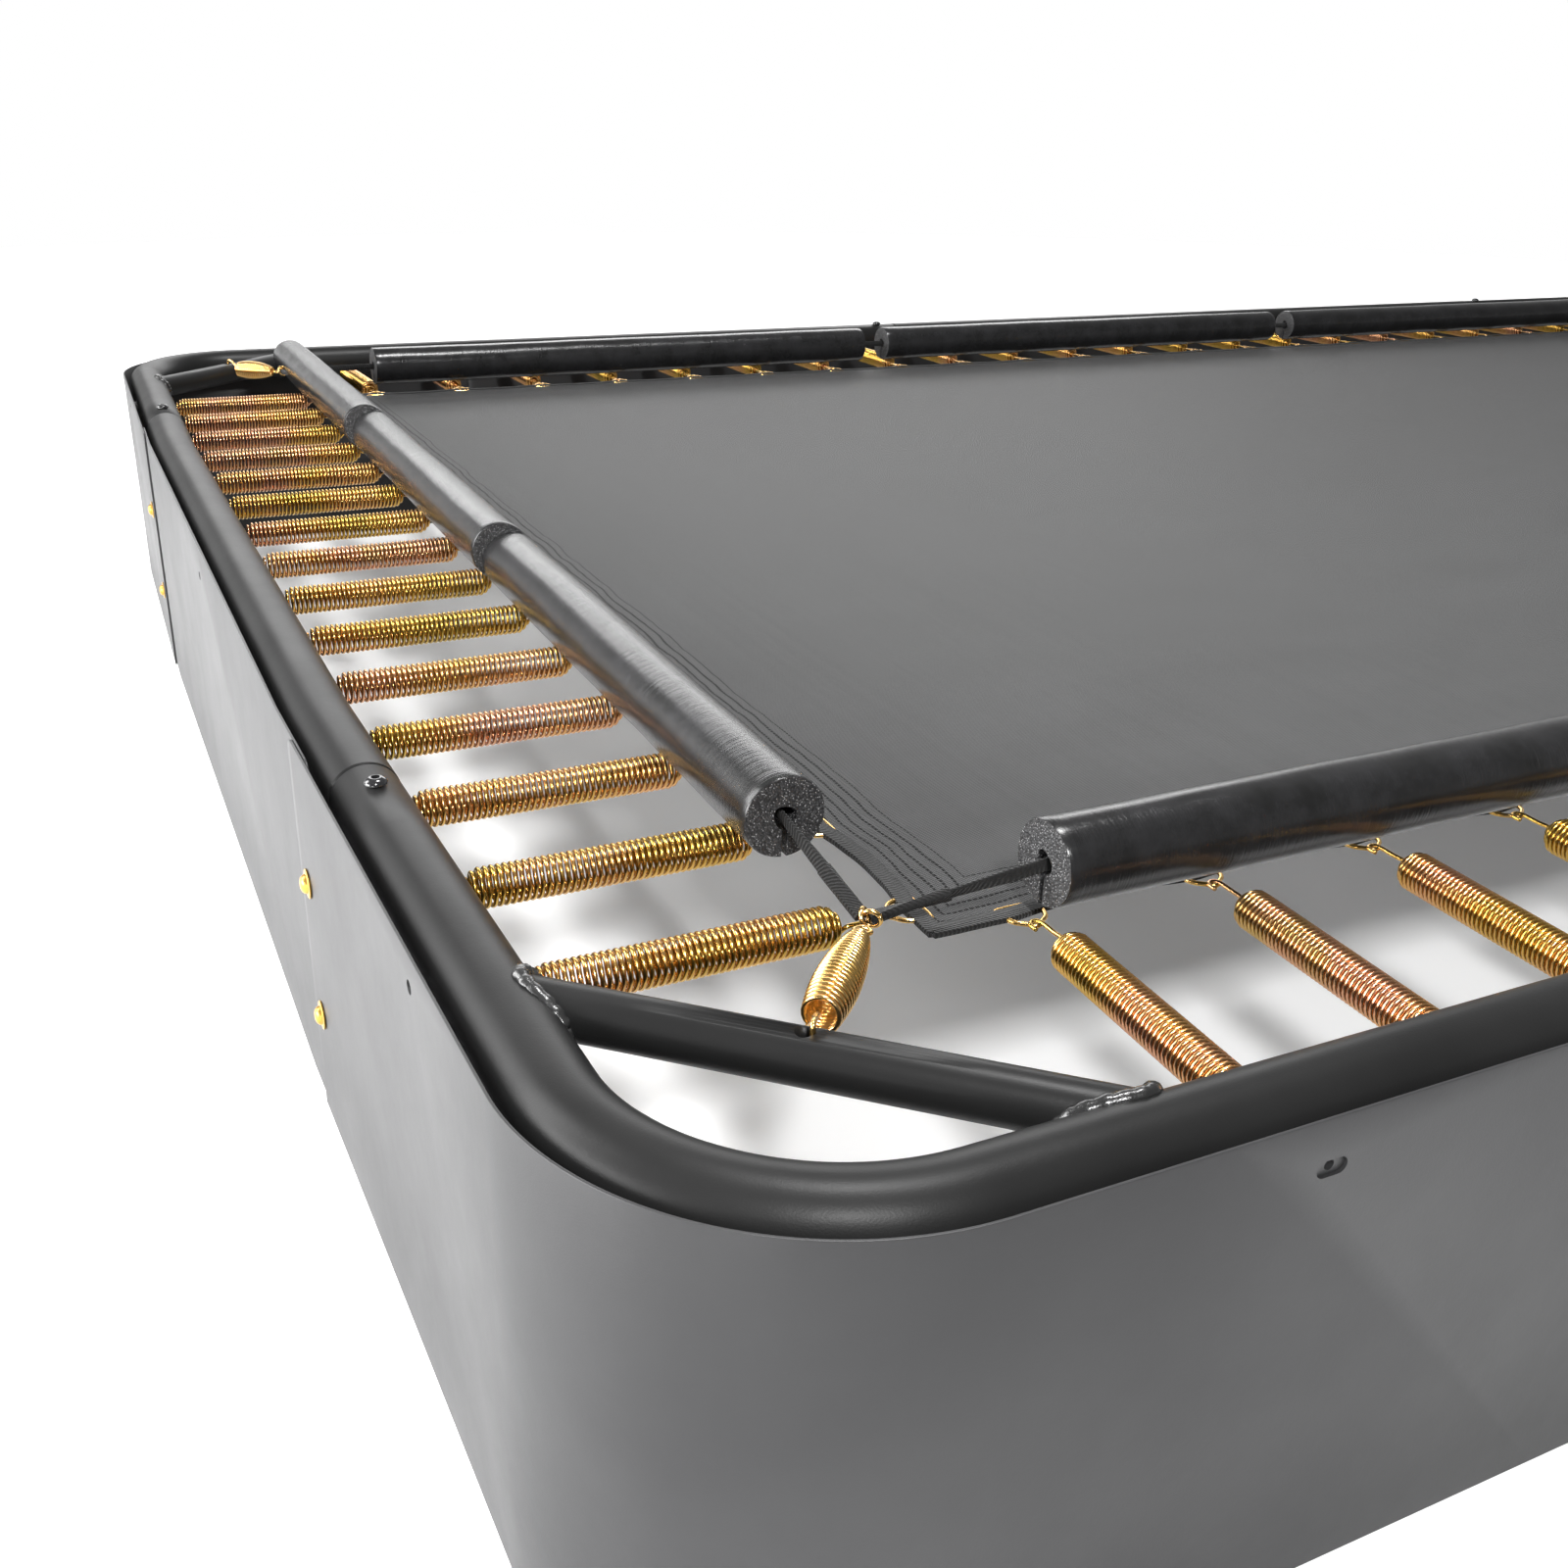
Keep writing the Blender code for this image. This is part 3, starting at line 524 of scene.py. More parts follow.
def corner_axis(corner, start_v, end_u, steps=40):
    """The corner tube's centreline from its short leg round to its long leg."""
    d1 = Vector((math.sin(TOE), -math.cos(TOE)))
    out1 = Vector((-math.cos(TOE), -math.sin(TOE)))
    base = Vector((toe(start_v), start_v))
    meet = base + d1 * (start_v / math.cos(TOE))
    turn = math.pi / 2 - TOE
    arc_start = meet - d1 * BEND_R * math.tan(turn / 2)
    centre = arc_start - out1 * BEND_R
    pts = [base, base + d1 * 0.0012]
    pts += [base.lerp(arc_start, t) for t in (0.25, 0.5, 0.75)]
    pts += [centre + (out1 * math.cos(a) + d1 * math.sin(a)) * BEND_R
            for a in (turn * k / steps for k in range(steps + 1))]
    stop = Vector((end_u, 0.0))
    pts += [pts[-1].lerp(stop, t) for t in (0.25, 0.5, 0.75)]
    pts += [stop - Vector((0.0012, 0.0)), stop]
    return [at_corner(corner, p.x, p.y, RAIL_Z) for p in pts]


for corner in CORNERS:
    axis = corner_axis(corner, SEAM_V, SEAM_U)
    radii = np.full(len(axis), RAIL_R - 0.0004)
    radii[0] = radii[-1] = RAIL_R - 0.0014      # rounded lip at each joint
    on_frame(piece_of(tube_rings(axis, radii, RAIL_SIDES),
                      "corner_tube_%s_skin" % corner, RAIL_COAT),
             "corner_tube_" + corner)


def straight_rail(kind, side, pts):
    run0, run1 = (pts[1] - pts[0]).normalized(), (pts[-1] - pts[-2]).normalized()
    line = [pts[0] + run0 * 0.0008, pts[0] + run0 * 0.0022]
    for p, q in zip(pts, pts[1:]):
        line += [p.lerp(q, t) for t in (0.04, 0.35, 0.65, 0.96)]
    line += [pts[-1] - run1 * 0.0022, pts[-1] - run1 * 0.0008]
    radii = np.full(len(line), RAIL_R)
    radii[0] = radii[-1] = RAIL_R - 0.0012
    node = "%s_rail_%s" % (kind, side)
    on_frame(piece_of(tube_rings(line, radii, RAIL_SIDES), node + "_skin", RAIL_COAT),
             node)


for side, (c0, c1) in {"left": ("front_left", "rear_left"),
                       "right": ("front_right", "rear_right")}.items():
    straight_rail("short", side,
                  [leg_line(c0, SEAM_V), leg_line(c0, KINK), leg_line(c1, KINK),
                   leg_line(c1, SEAM_V)])
for side, (c0, c1) in {"front": ("front_left", "front_right"),
                       "rear": ("rear_left", "rear_right")}.items():
    straight_rail("long", side,
                  [at_corner(c0, SEAM_U, 0, RAIL_Z), at_corner(c1, SEAM_U, 0, RAIL_Z)])


# button-head socket bolts on the joints: the head's skin turns down into the socket
# (height over the seat, radius)
BUTTON_HEAD = [(-0.0060, 0.0040), (-0.0003, 0.0040), (0.0, 0.0074), (0.0006, 0.0080),
               (0.0018, 0.0079), (0.0034, 0.0066), (0.0046, 0.0045), (0.0048, 0.0032),
               (0.0046, 0.0028), (0.0018, 0.0026), (0.0016, 0.0004)]
TOP = RAIL_Z + RAIL_R
for corner in CORNERS:
    for kind, seat in (("short", leg_line(corner, SEAM_V - BOLT_BACK, TOP)),
                       ("long", at_corner(corner, SEAM_U - BOLT_BACK, 0, TOP))):
        node = "joint_bolt_%s_%s" % (kind, corner)
        on_frame(piece_of(lathe_rings(BUTTON_HEAD, seat, UP, 36), node + "_head",
                          BOLT_BLACK), node)


# braces, hook holes and weld beads
HOOK_HOLE = 0.0052
BEAD_POINTS = 64


def weld_bead(origin, way, rail_dir, lean):
    """Ripples round a brace's end, where it meets a rail; lean is the rail's offset."""
    side = way.cross(UP).normalized()
    level = (way - rail_dir * way.dot(rail_dir)).normalized()
    ring = []
    for k in range(BEAD_POINTS):
        ang = 2 * math.pi * k / BEAD_POINTS
        foot = origin + (side * math.cos(ang) + UP * math.sin(ang)) * BRACE_R
        # slide along the brace until the point meets the rail's surface
        height = foot.z - RAIL_Z
        reach = math.sqrt(max((RAIL_R ** 2) - height ** 2, 1e-6))
        gone = (foot - origin).dot(level)
        ring.append(foot + way * ((reach - gone + lean) / max(way.dot(level), 0.2)))
    ring.append(ring[0].copy())
    radii = [0.0040 + 0.0010 * abs(math.sin(k * 1.05)) + rng.uniform(-3e-4, 3e-4)
             for k in range(BEAD_POINTS + 1)]
    radii[-1] = radii[0]
    return tube_rings(ring, radii, 12)


for corner in CORNERS:
    a = at_corner(corner, 0.0, BRACE_V, RAIL_Z + BRACE_DZ)
    c = at_corner(corner, BRACE_U, 0.0, RAIL_Z + BRACE_DZ)
    brace = piece_of(tube_rings([a.lerp(c, t) for t in (0.03, 0.25, 0.5, 0.75, 0.97)],
                                BRACE_R, 40), "corner_brace_%s_skin" % corner, RAIL_COAT)
    cut_with(brace, lathe_rings([(-0.010, HOOK_HOLE), (0.010, HOOK_HOLE)],
                                a.lerp(c, 0.5) + UP * BRACE_R, UP, 24),
             "hook_hole_" + corner)
    on_frame(brace, "corner_brace_" + corner)
    run = (c - a).normalized()
    for n, bead in enumerate((weld_bead(a, run, Vector((0, 1, 0)), toe(BRACE_V)),
                              weld_bead(c, -run, Vector((1, 0, 0)), 0.0)), 1):
        on_frame(piece_of(bead, "weld_%s_%d" % (corner, n), WELD_COAT, None))


# ------------------------------------------------------- skirt seam bolts
def snug(out):
    """How much nearer than SKIRT_GAP the sheet hangs, by the way it faces."""
    return 0.0040 * out[0] ** 2 + 0.0062 * out[1] ** 2


DOME_HEAD = [(-0.0040, 0.0036), (-0.0001, 0.0036), (0.0, 0.0110), (0.0012, 0.0114),
             (0.0018, 0.0104), (0.0020, 0.0076), (0.0038, 0.0070), (0.0054, 0.0054),
             (0.0062, 0.0032), (0.0065, 0.0004)]
FACE = SKIRT_GAP + 2 * SKIRT_T + 0.0003
for corner, (sx, sy) in CORNERS.items():
    edge = SEAM_PANEL - OVERLAP / 2
    for n, z in enumerate(BOLT_HEIGHTS, 1):
        for kind, seat, out in (
                ("short", at_corner(corner, toe(edge) - FACE, edge, z), (sx, 0, 0)),
                ("long", at_corner(corner, edge, -FACE, z), (0, sy, 0))):
            seat = seat - Vector(out) * snug(out)
            on_frame(piece_of(lathe_rings(DOME_HEAD, seat, out, 32),
                              "skirt_bolt_%s_%s_%d" % (kind, corner, n), GOLD_BOLT))


# -------------------------------------------------------- skirt sheet metal
FOOT, FOOT_START = 0.025, OVERLAP + 0.003   # width; distance from the sheet's ends
PANEL_ROUND = 0.012
CUTS = {"slot": (0.0095, 0.0050), "hole": (0.0045, 0.0045)}   # half sizes


def skirt_sheet(name, node, stations, offset, cuts):
    """Sheet along stations of (point, outward direction), standing on its foot."""
    walls, feet = [], []
    total = sum((q[0] - p[0]).length for p, q in zip(stations, stations[1:]))
    gone = 0.0
    inner, outer = offset, offset + SKIRT_T
    for n, (p, out) in enumerate(stations):
        if n:
            gone += (p - stations[n - 1][0]).length
        end = min(gone, total - gone)
        drop = 0.0
        if end < PANEL_ROUND:
            drop = PANEL_ROUND - math.sqrt(PANEL_ROUND ** 2 - (PANEL_ROUND - end) ** 2)
        top = SKIRT_TOP - drop
        p = p - out * snug(out)
        section = [(inner, 0.0), (outer, 0.0), (outer, top - 0.0007),
                   (outer - 0.0003, top - 0.0002), (outer - 0.0009, top),
                   (inner + 0.0003, top - 0.0002), (inner, top - 0.0007)]
        walls.append([tuple(p + out * o + UP * z) for o, z in section])
        if FOOT_START <= gone <= total - FOOT_START:
            feet.append([tuple(p + out * o + UP * z) for o, z in (
                (inner - FOOT, 0.0), (inner + 0.0002, 0.0), (inner + 0.0002, SKIRT_T),
                (inner - FOOT, SKIRT_T))])
    sheet = piece_of(walls, name, SKIRT_COAT)
    mend(sheet, 40)
    for n, (kind, centre, out) in enumerate(cuts):
        out = Vector(out)
        centre = centre - out * snug(out)
        along = UP.cross(out).normalized()
        half_w, half_h = CUTS[kind]
        ring = []
        for k in range(32):
            a = 2 * math.pi * k / 32
            flat = (half_w - half_h) * (1 if math.cos(a) > 0 else -1)
            ring.append(along * (half_h * math.cos(a) + flat)
                        + UP * half_h * math.sin(a))
        cut_with(sheet, [[tuple(centre + r + out * d) for r in ring]
                         for d in (-0.008, 0.008)], "%s_cut_%d" % (name, n))
    smooth(sheet.data, 40)
    on_frame(sheet, node)
    foot = piece_of(feet, name + "_foot", SKIRT_COAT)
    mend(foot, 40)
    on_frame(foot)


BOSS_V, BOSS_U = 0.286, (0.341, 1.180)
BOSS_DZ, LONG_DZ, MID_DZ = -0.006, -0.014, -0.020


def standoff(name, spot, out, layers=1, wide=0.0120):
    """Round boss between rail and skirt, with its screw hole."""
    reach = SKIRT_GAP - 0.0003 - snug(out) + (layers - 1) * (SKIRT_T + 0.0003)
    on_frame(piece_of(lathe_rings([(0.012, wide), (reach, wide), (reach, 0.0030),
                                   (reach - 0.010, 0.0028)], spot, out, 24),
                      name, SKIRT_COAT))


# distances from a sheet's end of the stations that draw its rounded corner
ROUNDING = [0.0006, 0.0015, 0.003, 0.005, 0.008, 0.012]

for corner, (sx, sy) in CORNERS.items():
    base = corner_axis(corner, SEAM_PANEL, SEAM_PANEL)
    stations = []
    rounding = ROUNDING + [OVERLAP + 0.004]
    d0, d1 = (base[1] - base[0]).normalized(), (base[-2] - base[-1]).normalized()
    line = [base[0]] + [base[0] + d0 * d for d in rounding] + base[5:-4] \
        + [base[-1] + d1 * d for d in reversed(rounding)] + [base[-1]]
    for n, p in enumerate(line):
        way = (line[min(n + 1, len(line) - 1)] - line[max(n - 1, 0)]).normalized()
        out = way.cross(UP) if way.cross(UP).dot(Vector((sx, sy, 0))) > 0 \
            else UP.cross(way)
        stations.append((Vector((p.x, p.y, 0.0)), out))
    face = SKIRT_GAP + SKIRT_T + 0.0003
    cuts = [("hole", at_corner(corner, toe(BOSS_V) - face, BOSS_V, RAIL_Z + BOSS_DZ),
             (sx, 0, 0)),
            ("slot", at_corner(corner, BOSS_U[0], -face, RAIL_Z + LONG_DZ),
             (0, sy, 0))]
    skirt_sheet("corner_skirt_" + corner, "corner_panel_" + corner, stations, face,
                cuts)
    standoff("standoff_%s_1" % corner, leg_line(corner, BOSS_V, RAIL_Z + BOSS_DZ),
             (sx, 0, 0), 2, 0.0045)
    for n, u in enumerate(BOSS_U, 2):
        standoff("standoff_%s_%d" % (corner, n),
                 at_corner(corner, u, 0, RAIL_Z + LONG_DZ), (0, sy, 0), 4 - n)

for side in SIDES:
    short = side in SHORT
    span = WID if short else LEN
    start = SEAM_PANEL - OVERLAP
    marks = [start] + [start + d for d in ROUNDING] + [SEAM_PANEL + 0.004]
    if short:
        marks.append(KINK)
    marks += [span / 2] + [span - m for m in reversed(marks)]
    origin = on_side(side, span / 2, 0, 0)
    out = (origin - on_side(side, span / 2, 1, 0)).normalized()
    stations = [(on_side(side, m, toe(min(m, span - m)) if short else 0.0, 0.0), out)
                for m in marks]
    if short:
        low = RAIL_Z + MID_DZ
        cuts = [("hole", origin + out * SKIRT_GAP + UP * low, out)]
    else:
        low = RAIL_Z + LONG_DZ
        cuts = [("slot", on_side(side, m, 0, low) + out * SKIRT_GAP, out)
                for m in (BOSS_U[1], span / 2, span - BOSS_U[1])]
    skirt_sheet("skirt_sheet_" + side, "skirt_panel_" + side, stations, SKIRT_GAP,
                cuts)
    standoff("standoff_" + side, on_side(side, span / 2, 0, low), out)


# ---------------------------------------------------------------- springs
def coil_points(start, end, radii_at, turns, per_turn, phase=0.0):
    """Helix from start to end; radii_at maps 0..1 to the coil's radius."""
    start, end = Vector(start), Vector(end)
    axis = (end - start).normalized()
    side = axis.cross(UP).normalized()
    up = side.cross(axis)
    t = np.linspace(0, 1, int(turns * per_turn) + 1)
    ang = phase + 2 * math.pi * turns * t
    r = np.array([radii_at(x) for x in t])
    base = np.array(start)[None] + np.array(end - start)[None] * t[:, None]
    return base + (np.cos(ang) * r)[:, None] * np.array(side)[None] \
        + (np.sin(ang) * r)[:, None] * np.array(up)[None]


def taper(x, turns, first, last, ends=2.5):
    """Full radius in the middle, running down over a few turns at each end."""
    near, far = x * turns / ends, (1 - x) * turns / ends
    r = COIL_R
    if near < 1:
        r = first + (COIL_R - first) * math.sin(near * math.pi / 2)
    if far < 1:
        r = last + (COIL_R - last) * math.sin(far * math.pi / 2)
    return r


def spring_path(side, a_out, a_in, start_i, tip_i, edge_i, per_turn):
    """Wire of one spring: rail hook, coils, bed hook."""
    outer = on_side(side, a_out, start_i, SPRING_Z)
    tip = on_side(side, a_in, tip_i, SPRING_Z)
    axis = (tip - outer).normalized()
    across = axis.cross(UP).normalized()
    coil = coil_points(outer, tip, lambda x: taper(x, COILS, 0.006, 0.0048), COILS,
                       per_turn, rng.uniform(0, 2 * math.pi))
    rail_hook = smooth_path([outer - axis * 0.010 + UP * 0.006,
                             outer - axis * 0.009, outer - axis * 0.005
                             - UP * 0.004, Vector(coil[0])], 4)
    reach = max(edge_i - tip_i - 0.004, 0.012)
    hook = smooth_path([Vector(coil[-1]), tip + axis * 0.005 + across * 0.004,
                        tip + axis * reach * 0.55 + across * 0.0035,
                        tip + axis * reach + across * 0.0015 + UP * 0.001,
                        tip + axis * (reach + 0.0035) - across * 0.002,
                        tip + axis * reach - across * 0.0055,
                        tip + axis * (reach - 0.006) - across * 0.0050], 5)
    return np.concatenate([as_array(rail_hook[:-1]), coil, as_array(hook[1:])])


def ring_path(side, a, eye_i, edge_i, half=0.0150):
    """Triangular wire ring: its point takes the hook, its base lies in the hem."""
    pts = [on_side(side, a + s * half * w, i, SPRING_Z) for s, w, i in (
        (1, 0.10, eye_i - 0.0035), (1, 0.35, eye_i), (1, 0.80, edge_i - 0.004),
        (1, 1.00, edge_i + 0.008), (1, 0.85, edge_i + 0.012),
        (-1, 0.85, edge_i + 0.012), (-1, 1.00, edge_i + 0.008),
        (-1, 0.80, edge_i - 0.004), (-1, 0.35, eye_i), (-1, 0.10, eye_i - 0.0035))]
    return smooth_path(pts + [pts[0]], 4)


def blend_side(obj, side):
    """Bakes a piece of one side into its world place; the points from the frame to the
    bed's middle are worked out but left unused.
    """
    first = HIP if side in SHORT else 0.0
    on_side(side, LEN / 4, first, SPRING_Z)
    on_side(side, LEN / 4, first + HY, SPRING_Z)
    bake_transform(obj)


def spring_grid(side):
    """Number of springs, first place, pitch and span of a side."""
    n, first, span = (SHORT_N, SHORT_FIRST, WID) if side in SHORT else \
        (LONG_N, LONG_FIRST, LEN)
    return n, first, (span - 2 * first) / (n - 1), span


def spring_group(side, numbers, index, per_turn, sides):
    short = side in SHORT
    edge = BED_U if short else BED_V
    tip = SHORT_TIP if short else LONG_TIP
    _, first, step, span = spring_grid(side)
    coils, rings = Build(), Build()
    for n, k in enumerate(numbers):
        a = first + k * step
        lean = 0.0 if short else 0.008 * (1 - 2 * a / span)
        start = RAIL_R + 0.005 + (toe(min(a, span - a)) if short else 0.0)
        path = spring_path(side, a, a + lean, start, tip, edge - 0.008, per_turn)
        u = np.linspace(0, 1, len(path))[:, None].repeat(sides + 1, 1)
        v = (n + np.linspace(0.04, 0.96, sides + 1)[None] * np.ones((len(path), 1)))
        coils.grid(tube_rings(path, WIRE_R, sides),
                   uv=np.stack([u, v / len(numbers)], -1))
        rings.grid(tube_rings(ring_path(side, a + lean, edge - 0.010, edge), 0.0017,
                              8))
    obj = coils.piece("springs_%s_%d" % (side, index), [GOLD], "OFBake", sharp=None)
    blend_side(obj, side)
    blend_side(rings.piece("hem_rings_%s_%d" % (side, index), [GOLD_HOOK],
                           sharp=None), side)
    return obj


def groups_of(n, size):
    return [range(k, min(k + size, n)) for k in range(0, n, size)]


for side, per_turn, sides in (("left", 22, 11), ("front", 20, 10), ("rear", 14, 7),
                              ("right", 14, 7)):
    made = [spring_group(side, numbers, k, per_turn, sides)
            for k, numbers in enumerate(groups_of(spring_grid(side)[0], 8), 1)]
    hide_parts("spring_row_" + side)


# --------------------------------------------------------------------- bed
def hem_pull(side, a):
    """How far the edge lies in from its line: none at the rings, most between."""
    n, first, step, _ = spring_grid(side)
    inside = min(max((a - first) / step, 0.0), n - 1.0)
    return 0.0065 * math.sin(math.pi * (inside % 1.0))


SECTOR_DEPTH = HY - BED_V
# distances in from the edge of the bed's rows of points, close together at the hem
BED_ROWS = [0.0, 0.004, 0.009, 0.015, 0.022, 0.030, 0.040, 0.052, 0.066, 0.084, 0.105,
            0.13, 0.17, 0.22, 0.28, 0.36, 0.46, 0.56, 0.68, 0.80, SECTOR_DEPTH]


def bed_sector(side):
    """One of the bed's four mitred sheets, from its edge to the middle."""
    short = side in SHORT
    edge, span = (BED_U, WID) if short else (BED_V, LEN)
    shift = -HIP if short else HIP       # where the fold line starts
    n = 260 if short else 540
    top, low, uvs = [], [], []
    for r in BED_ROWS:
        i = edge + r
        a0 = i + shift
        fade = max(0.0, 1.0 - r / 0.075)
        row = []
        for k in range(n + 1):
            a = a0 + (span - 2 * a0) * k / n
            ends = min(1.0, min(a - a0, span - a0 - a) / 0.03) \
                if r < SECTOR_DEPTH else 0.0
            pull = hem_pull(side, a) * fade * fade * max(ends, 0.0)
            row.append((a, on_side(side, a, i + pull, SPRING_Z)))
        top.append([p + UP * BED_T / 2 for _, p in row])
        low.append([p - UP * BED_T / 2 for _, p in row])
        uvs.append([(a, r) for a, _ in row])
    # closed sections: top rows, then the underside rows back to the edge
    rings = np.array([as_array(ring) for ring in top + low[::-1]])
    uv = np.array(uvs + uvs[::-1] + uvs[:1])
    b = Build()
    b.grid(rings.transpose(1, 0, 2), uv=uv.transpose(1, 0, 2))
    obj = b.piece("bed_%s" % side, [BED_CLOTH], "cloth", sharp=60.0)
    mend(obj, 60)
    return obj


sectors = {side: bed_sector(side) for side in SIDES}
for side, obj in sectors.items():
    blend_side(obj, side)
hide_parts("jumping_bed")


# hem: a doubled band of webbing folded over the edge, with the rings inside it
# (distance in from the edge, height)
HEM_SECTION = ((-0.0012, 0.0), (-0.0008, 0.0019), (0.004, 0.0024), (0.0105, 0.0019),
               (0.0115, 0.0009), (0.0115, -0.0009), (0.0105, -0.0019),
               (0.004, -0.0026), (-0.0008, -0.0019))
for side in SIDES:
    short = side in SHORT
    edge, span = (BED_U, WID) if short else (BED_V, LEN)
    start = (BED_V if short else BED_U) + 0.002
    n = 220 if short else 460
    rings = []
    for k in range(n + 1):
        a = start + (span - 2 * start) * k / n
        i = edge + hem_pull(side, a) + 0.0002 * math.sin(a * 900.0)
        rings.append(as_array(on_side(side, a, i + di, SPRING_Z + dz)
                              for di, dz in HEM_SECTION))
    hem = piece_of(np.array(rings), "bed_hem_" + side, HEM, 50.0)
    mend(hem, 60)
    blend_side(hem, side)


# ---------------------------------------------------------- padded tubes
def foam_tube(name, start, end, body, node):
    """Foam tube: film skin with soft dents, slit below, bore, cut ends."""
    length = (end - start).length
    along = (end - start).normalized()
    side = UP.cross(along).normalized()
    half = FOAM_SLIT / 2
    a0 = math.asin(half / FOAM_R)
    b0 = math.asin(half / FOAM_BORE)
    outer_n, bore_n = 49, 17
    steps = max(int(length / 0.009), 8)
    stations = [0.0, 0.0012 / length] + [k / steps for k in range(1, steps)] \
        + [1 - 0.0012 / length, 1.0]
    wave = [rng.uniform(0, 6.28) for _ in range(6)]

    def rim(x, a, r):
        return start + along * x + side * math.sin(a) * r - UP * math.cos(a) * r

    rings, uvs = [], []
    for s in stations:
        x = s * length
        ring, uv = [], []
        lip = 0.0006 if s in (0.0, 1.0) else 0.0
        for k in range(outer_n):
            a = a0 + (2 * math.pi - 2 * a0) * k / (outer_n - 1)
            dent = 0.00025 * math.sin(17 * x + wave[0] + 2 * a) \
                + 0.00010 * math.sin(61 * x + wave[1] - 3 * a)
            r = FOAM_R - 0.0006 - lip + dent
            ring.append(rim(x, a, r))
            uv.append((x, a * FOAM_R))
        for k in range(bore_n):
            a = 2 * math.pi - b0 - (2 * math.pi - 2 * b0) * k / (bore_n - 1)
            r = FOAM_BORE * (1 + 0.10 * math.sin(3 * a + wave[3]))
            ring.append(rim(x, a, r))
            uv.append((x, 0.2 + a * FOAM_BORE))
        uv.append(uv[0])
        rings.append(as_array(ring))
        uvs.append(uv)
    b = Build()
    b.grid(np.array(rings), cap_slot=1, uv=np.array(uvs))
    inner = np.zeros(outer_n + bore_n, int)
    inner[outer_n - 1:] = 1
    b.quad_mat[-1] = np.tile(inner, len(stations) - 1)
    obj = b.piece(name, [FILM, FOAM_CUT], "film", sharp=50.0)
    mend(obj, 50, weld=False)
    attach(obj, body)
    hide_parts(node)


ASKEW, RAISED, DROPPED = 0.0040, 0.0050, 0.0030   # of the short sides' foam tubes
for side in SIDES:
    foams = SHORT_FOAMS if side in SHORT else LONG_FOAMS
    for k, (a, c) in enumerate(foams, 1):
        i, j, up, down = lane(side, a), lane(side, c), 0.0, 0.0
        if side in SHORT:
            i -= 0 if k == 1 else ASKEW
            j += 0 if k == len(foams) else ASKEW
            up, down = 0.0 if k == 1 else RAISED, DROPPED
        foam_tube("foam_%s_%d" % (side, k), on_side(side, a, i, FOAM_Z + up),
                  on_side(side, c, j, FOAM_Z - down), "pads_" + side,
                  "padded_tube_%s_%d" % (side, k))

# ------------------------------------------- straps, rings and corner springs
OPEN_RING = (0.2420, 0.2560, RAIL_Z - 0.0050)
HIGH_RING = (0.2120, 0.1960, RAIL_Z + 0.0190)


def ring_spot(corner):
    return HIGH_RING if corner in COVERED else OPEN_RING


def strap_line(side):
    """Centreline of one strap: ring, foam bore, ring."""
    short = side in SHORT
    span = WID if short else LEN
    ends = {"left": ("front_left", "rear_left"), "right": ("rear_right", "front_right"),
            "front": ("front_left", "front_right"),
            "rear": ("rear_right", "rear_left")}[side]
    halves = []
    for n, corner in enumerate(ends):
        u, v, z = ring_spot(corner)
        inner, away = (u, v) if short else (v, u)
        bore = 0.360
        track = [(away + 0.004 + (bore - away) * t,
                  inner + (lane(side, span - bore if n else bore) - inner)
                  * min(1.0, 1.15 * t), z + (FOAM_Z - z) * min(1.0, t * 1.1))
                 for t in (0.0, 0.15, 0.35, 0.6, 0.8, 1.0)]
        track += [(bore + 0.05 * k, lane(side, span - bore if n else bore), FOAM_Z)
                  for k in (1, 2)]
        halves.append([on_side(side, span - a if n else a, i, zz)
                       for a, i, zz in track])
    near, far = smooth_path(halves[0], 5), smooth_path(halves[1], 5)
    middle = [near[-1].lerp(far[-1], t) for t in (0.2, 0.4, 0.6, 0.8)]
    return near + middle + far[::-1]


for side in SIDES:
    line = strap_line(side)
    b = Build()
    flat = (line[-1] - line[0]).cross(UP).normalized()
    ways = [flat.lerp(UP, min(1.0, 0.08 + min(k, len(line) - 1 - k) / 20))
            for k in range(len(line))]
    b.grid(band_rings(line, 0.0090, 0.0024, ways))
    # the sewn-back ends: a second, thicker layer over the last few centimetres
    for part in (slice(0, 12), slice(-12, None)):
        b.grid(band_rings(line[part], 0.0098, 0.0058, ways[part]))
    strap = b.piece("strap_%s_web" % side, [WEB], sharp=60.0)
    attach(strap, "strap_" + side)
    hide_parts("strap_" + side)


def wire_ring(build, centre, normal, radius):
    normal = Vector(normal).normalized()
    side = normal.orthogonal().normalized()
    other = normal.cross(side)
    loop = [centre + side * math.cos(a) * radius + other * math.sin(a) * radius
            for a in (2 * math.pi * k / 28 for k in range(29))]
    build.grid(tube_rings(loop, 0.0016, 10))


def barrel(x):
    """Open at the low end, fullest below the middle, drawn in at the top."""
    if x < 0.35:
        return 0.0098 + 0.0026 * math.sin(math.pi / 2 * x / 0.35)
    return 0.0045 + 0.0079 * math.cos(math.pi / 2 * (x - 0.35) / 0.65) ** 0.75


